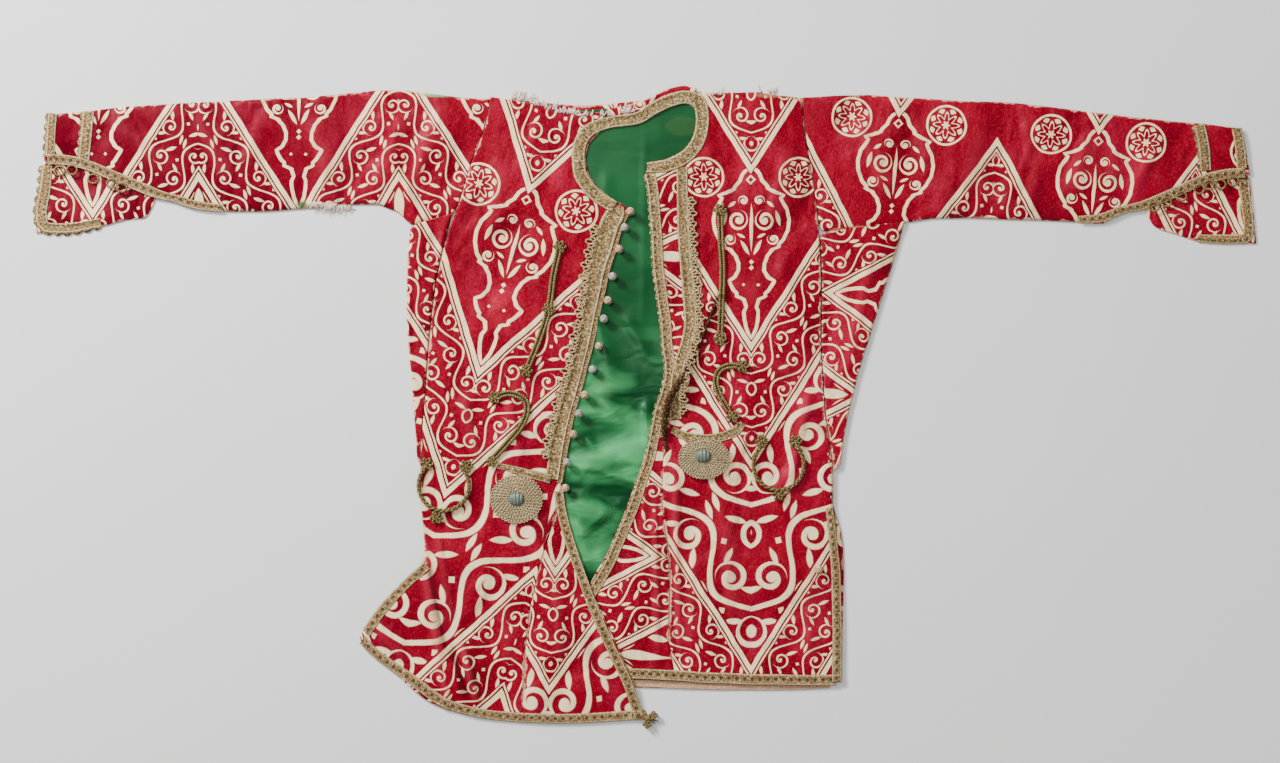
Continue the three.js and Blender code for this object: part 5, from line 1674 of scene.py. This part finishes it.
class ROBE_OT_buttons(bpy.types.Operator):
    """Sew the ball buttons along the edge of the left front"""

    bl_idname = "robe.buttons"
    bl_label = "Buttons"

    def execute(self, context):
        scene = context.scene
        colours, radius = scene.robe_colours, scene.robe_sizes.button
        finishes = [
            thread_ball("gold_thread_ball", (0.62, 0.33, 0.16), (0.72, 0.5, 0.3), colours),
            thread_ball("silver_thread_ball", (0.36, 0.31, 0.27), (0.54, 0.49, 0.43), colours),
        ]
        slots = ("gold_button", "silver_button")
        nodes = [*(f"button_{i + 1:02d}" for i in range(len(BUTTONS))), "vent_button"]
        model = self.model_ball(radius)
        for i, (x, y) in enumerate(in_frame([*BUTTONS, VENT_BUTTON])):
            tone = i % 2 if i < len(BUTTONS) else 0
            low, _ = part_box(nodes[i])
            self.sew_ball(model, nodes[i], x, y, low.z, radius, finishes[tone], slots[tone])
        bpy.data.objects.remove(model)
        return {"FINISHED"}

    def model_ball(self, radius):
        """One ball, drawn in along eight meridians where its thread changes direction."""
        deselect()
        bpy.ops.mesh.primitive_uv_sphere_add(segments=32, ring_count=16, radius=radius)
        ball = bpy.context.object
        uv = ball.data.uv_layers.new(name="cut")
        for loop in ball.data.loops:
            co = ball.data.vertices[loop.vertex_index].co
            uv.data[loop.index].uv = (math.atan2(co.y, co.x) / (2 * math.pi) * 0.5, co.z)
        select_points(ball, lambda co: abs(co.z) < 0.9 * radius
                      and math.cos(8 * math.atan2(co.y, co.x)) < -0.9)
        bpy.ops.transform.resize(value=(0.93, 0.93, 1), center_override=(0, 0, 0))
        select_points(ball, lambda co: abs(co.z) > 0.93 * radius)
        bpy.ops.transform.resize(value=(1, 1, 1.08), center_override=(0, 0, 0))
        bpy.ops.object.mode_set(mode="OBJECT")
        bpy.ops.object.shade_smooth()
        return ball

    def sew_ball(self, model, node, x, y, base, radius, material, slot):
        """A copy of the ball on its thread shank, tipped the way it hangs."""
        dice = random.Random(node)
        lean = Matrix.Rotation(dice.uniform(0.2, 0.9), 4, "Y") @ Matrix.Rotation(
            dice.uniform(-0.6, 0.6), 4, "X")
        ball = bpy.data.objects.new(f"ball_{node}", model.data.copy())
        bpy.context.scene.collection.objects.link(ball)
        ball.data.transform(Matrix.Translation((x, y, base + radius)) @ lean)
        ball.data.materials.append(material)
        stalk = tube([(x - 0.004, y, base), (x - 0.002, y, base + 0.0012), (x, y, base + radius)],
                     0.0013, 8)
        shank = mesh_piece(f"shank_{node}", *stalk[:2], material, stalk[2])
        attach(ball, "root")
        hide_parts(node)


class ROBE_OT_threads(bpy.types.Operator):
    """Add the tassel, the cuff loops, the basting and the frayed tufts"""

    bl_idname = "robe.threads"
    bl_label = "Threads"

    def execute(self, context):
        colours = context.scene.robe_colours
        gold = cord_finish("tassel_thread", colours.gold, colours.silver, colours)
        pale = loose_thread("pale_thread", (0.86, 0.66, 0.56))
        white = loose_thread("basting_thread", (0.85, 0.72, 0.72))
        self.make_tassel(gold)
        loops = []
        for x, y, turn in CUFF_LOOPS:
            angle = np.linspace(0, 2 * math.pi, 22, endpoint=False) + math.radians(turn)
            line = in_frame(np.stack([x + 6.4 * np.cos(angle), y + 5.6 * np.sin(angle)], 1))
            heights = [GROUND.height(px, py) + 0.0013 for px, py in line]
            heights = np.full(len(line), max(heights))
            loops.append(tube(np.column_stack([line, heights]), 0.0013, 7, closed=True))
        parts_piece("cuff_loops", loops, gold)
        parts_piece("frayed_tufts", self.tufts(), pale)
        parts_piece("basting", self.basting(), white)
        return {"FINISHED"}

    def make_tassel(self, material):
        """The tassel at the point of the left skirt: three florets, a bead and loose ends."""
        x, y = in_frame([TASSEL])[0]
        dice = random.Random(11)
        parts = []
        for dx, dy, reach in ((-4, -1, 5.4), (7, 0, 6.2), (-1, -11, 6.4)):
            parts += floret(x + dx * MM, y + dy * MM, 0.0032, reach * MM, 0.0013, 4)
        parts.append(bead(x, y - 0.004, 0.0046, 0.0044, 0.9))
        for _ in range(14):
            angle = math.radians(dice.choice((-20, -95)) + dice.uniform(-22, 22))
            reach = dice.uniform(0.009, 0.014)
            middle = 0.55 * reach
            line = [(x, y - 0.004, 0.004),
                    (x + middle * math.cos(angle), y - 0.004 + middle * math.sin(angle), 0.0046),
                    (x + reach * math.cos(angle), y - 0.004 + reach * math.sin(angle), 0.0022)]
            parts.append(tube(line, [0.0006, 0.0006, 0.0003], 5))
        parts_piece("tassel_threads", parts, material, "tassel")

    def tufts(self):
        """Wisps of thread where the silk has frayed along the shoulders and seams."""
        dice = random.Random(5)
        strands = []
        for x, y, direction, count, spread in TUFTS:
            for _ in range(count):
                angle = math.radians(direction + dice.gauss(0, 32))
                reach = dice.uniform(4, 13)
                aim = np.array([math.cos(angle), math.sin(angle)])
                start = np.array([x + dice.uniform(-spread, spread), y]) - 2.5 * aim
                middle = start + reach * 0.5 * aim + [dice.uniform(-1.5, 1.5), dice.uniform(-1, 1)]
                line = in_frame([start, middle, start + reach * aim])
                line = np.stack(pulled(line[:, 0], line[:, 1]), 1)
                z = GROUND.height(*line[0]) + 0.0004
                heights = [z, z + dice.uniform(0.0002, 0.0016), z + dice.uniform(0, 0.001)]
                width = dice.uniform(0.0005, 0.0011)
                strands.append(tube(np.column_stack([line, heights]),
                                    [width, width, 0.4 * width], 4))
        return strands

    def basting(self):
        """Uneven running stitches, some of which have come out."""
        dice = random.Random(8)
        stitches = []
        course, _ = smooth_line(BASTING_LINE, 9.0)
        for x, y in course:
            if dice.random() < 0.3:
                continue
            length = dice.uniform(2.5, 5.5)
            line = in_frame([(x - 1, y), (x - 1 + dice.uniform(-0.6, 0.6), y - length)])
            heights = [GROUND.height(px, py) + 0.0005 for px, py in line]
            stitches.append(tube(np.column_stack([line, heights]), 0.0005, 5))
        return stitches


# Studio lamps that face the robe. Columns: place in metres, width, strength in watts.
LAMPS = [((-2.4, 2.2, 1.8), 0.9, 300), ((-0.9, 1.2, 3.6), 0.7, 50), ((2.8, -0.8, 2.8), 2.4, 30)]
SKY_STRENGTH = 0.32
# The camera looks straight down. Its lens and sensor are in mm.
CAMERA_PLACE, CAMERA_LENS, CAMERA_SENSOR = (-0.0069, 0.0338 - 0.0006, 4.445), 100, 36


class ROBE_OT_stage(bpy.types.Operator):
    """Put down the floor, the studio lights and the camera"""

    bl_idname = "robe.stage"
    bl_label = "Stage"

    def execute(self, context):
        deselect()
        bpy.ops.mesh.primitive_plane_add(size=8, location=(0, 0, -0.0004))
        floor = bpy.context.object
        floor.name = "floor"
        floor.data.materials.append(floor_paper())
        for place, width, strength in LAMPS:
            bpy.ops.object.light_add(type="AREA", location=place)
            lamp = bpy.context.object
            lamp.data.size = width
            lamp.data.energy = strength
            lamp.rotation_euler = (-Vector(place)).to_track_quat("-Z", "Y").to_euler()
        world = context.scene.world or bpy.data.worlds.new("studio")
        context.scene.world = world
        world.use_nodes = True
        background = world.node_tree.nodes["Background"].inputs
        background[0].default_value = (1, 1, 1, 1)
        background[1].default_value = SKY_STRENGTH
        bpy.ops.object.camera_add(location=CAMERA_PLACE, rotation=(0, 0, 0))
        camera = bpy.context.object
        camera.data.lens, camera.data.sensor_width = CAMERA_LENS, CAMERA_SENSOR
        context.scene.camera = camera
        return {"FINISHED"}


class ROBE_PT_panel(bpy.types.Panel):
    """Sizes, colours and the steps that make the robe"""

    bl_idname = "ROBE_PT_panel"
    bl_label = "Robe"
    bl_space_type = "VIEW_3D"
    bl_region_type = "UI"
    bl_category = "Robe"

    def draw(self, context):
        for group in (context.scene.robe_sizes, context.scene.robe_colours):
            box = self.layout.box()
            for name in group.__annotations__:
                box.prop(group, name)
        for step in STEPS:
            self.layout.operator(step.bl_idname)


STEPS = (
    ROBE_OT_lining, ROBE_OT_cloth, ROBE_OT_braids, ROBE_OT_cordwork, ROBE_OT_rosettes,
    ROBE_OT_buttons, ROBE_OT_threads, ROBE_OT_stage,
)
CLASSES = (RobeSizes, RobeColours, *STEPS, ROBE_PT_panel)


def register():
    for cls in CLASSES:
        bpy.utils.register_class(cls)
    bpy.types.Scene.robe_sizes = PointerProperty(type=RobeSizes)
    bpy.types.Scene.robe_colours = PointerProperty(type=RobeColours)


def unregister():
    del bpy.types.Scene.robe_colours
    del bpy.types.Scene.robe_sizes
    for cls in reversed(CLASSES):
        bpy.utils.unregister_class(cls)


def main():
    register()
    bpy.ops.robe.lining()
    bpy.ops.robe.cloth()
    bpy.ops.robe.braids()
    bpy.ops.robe.cordwork()
    bpy.ops.robe.rosettes()
    bpy.ops.robe.buttons()
    bpy.ops.robe.threads()
    bpy.ops.robe.stage()


if __name__ == "__main__":
    main()
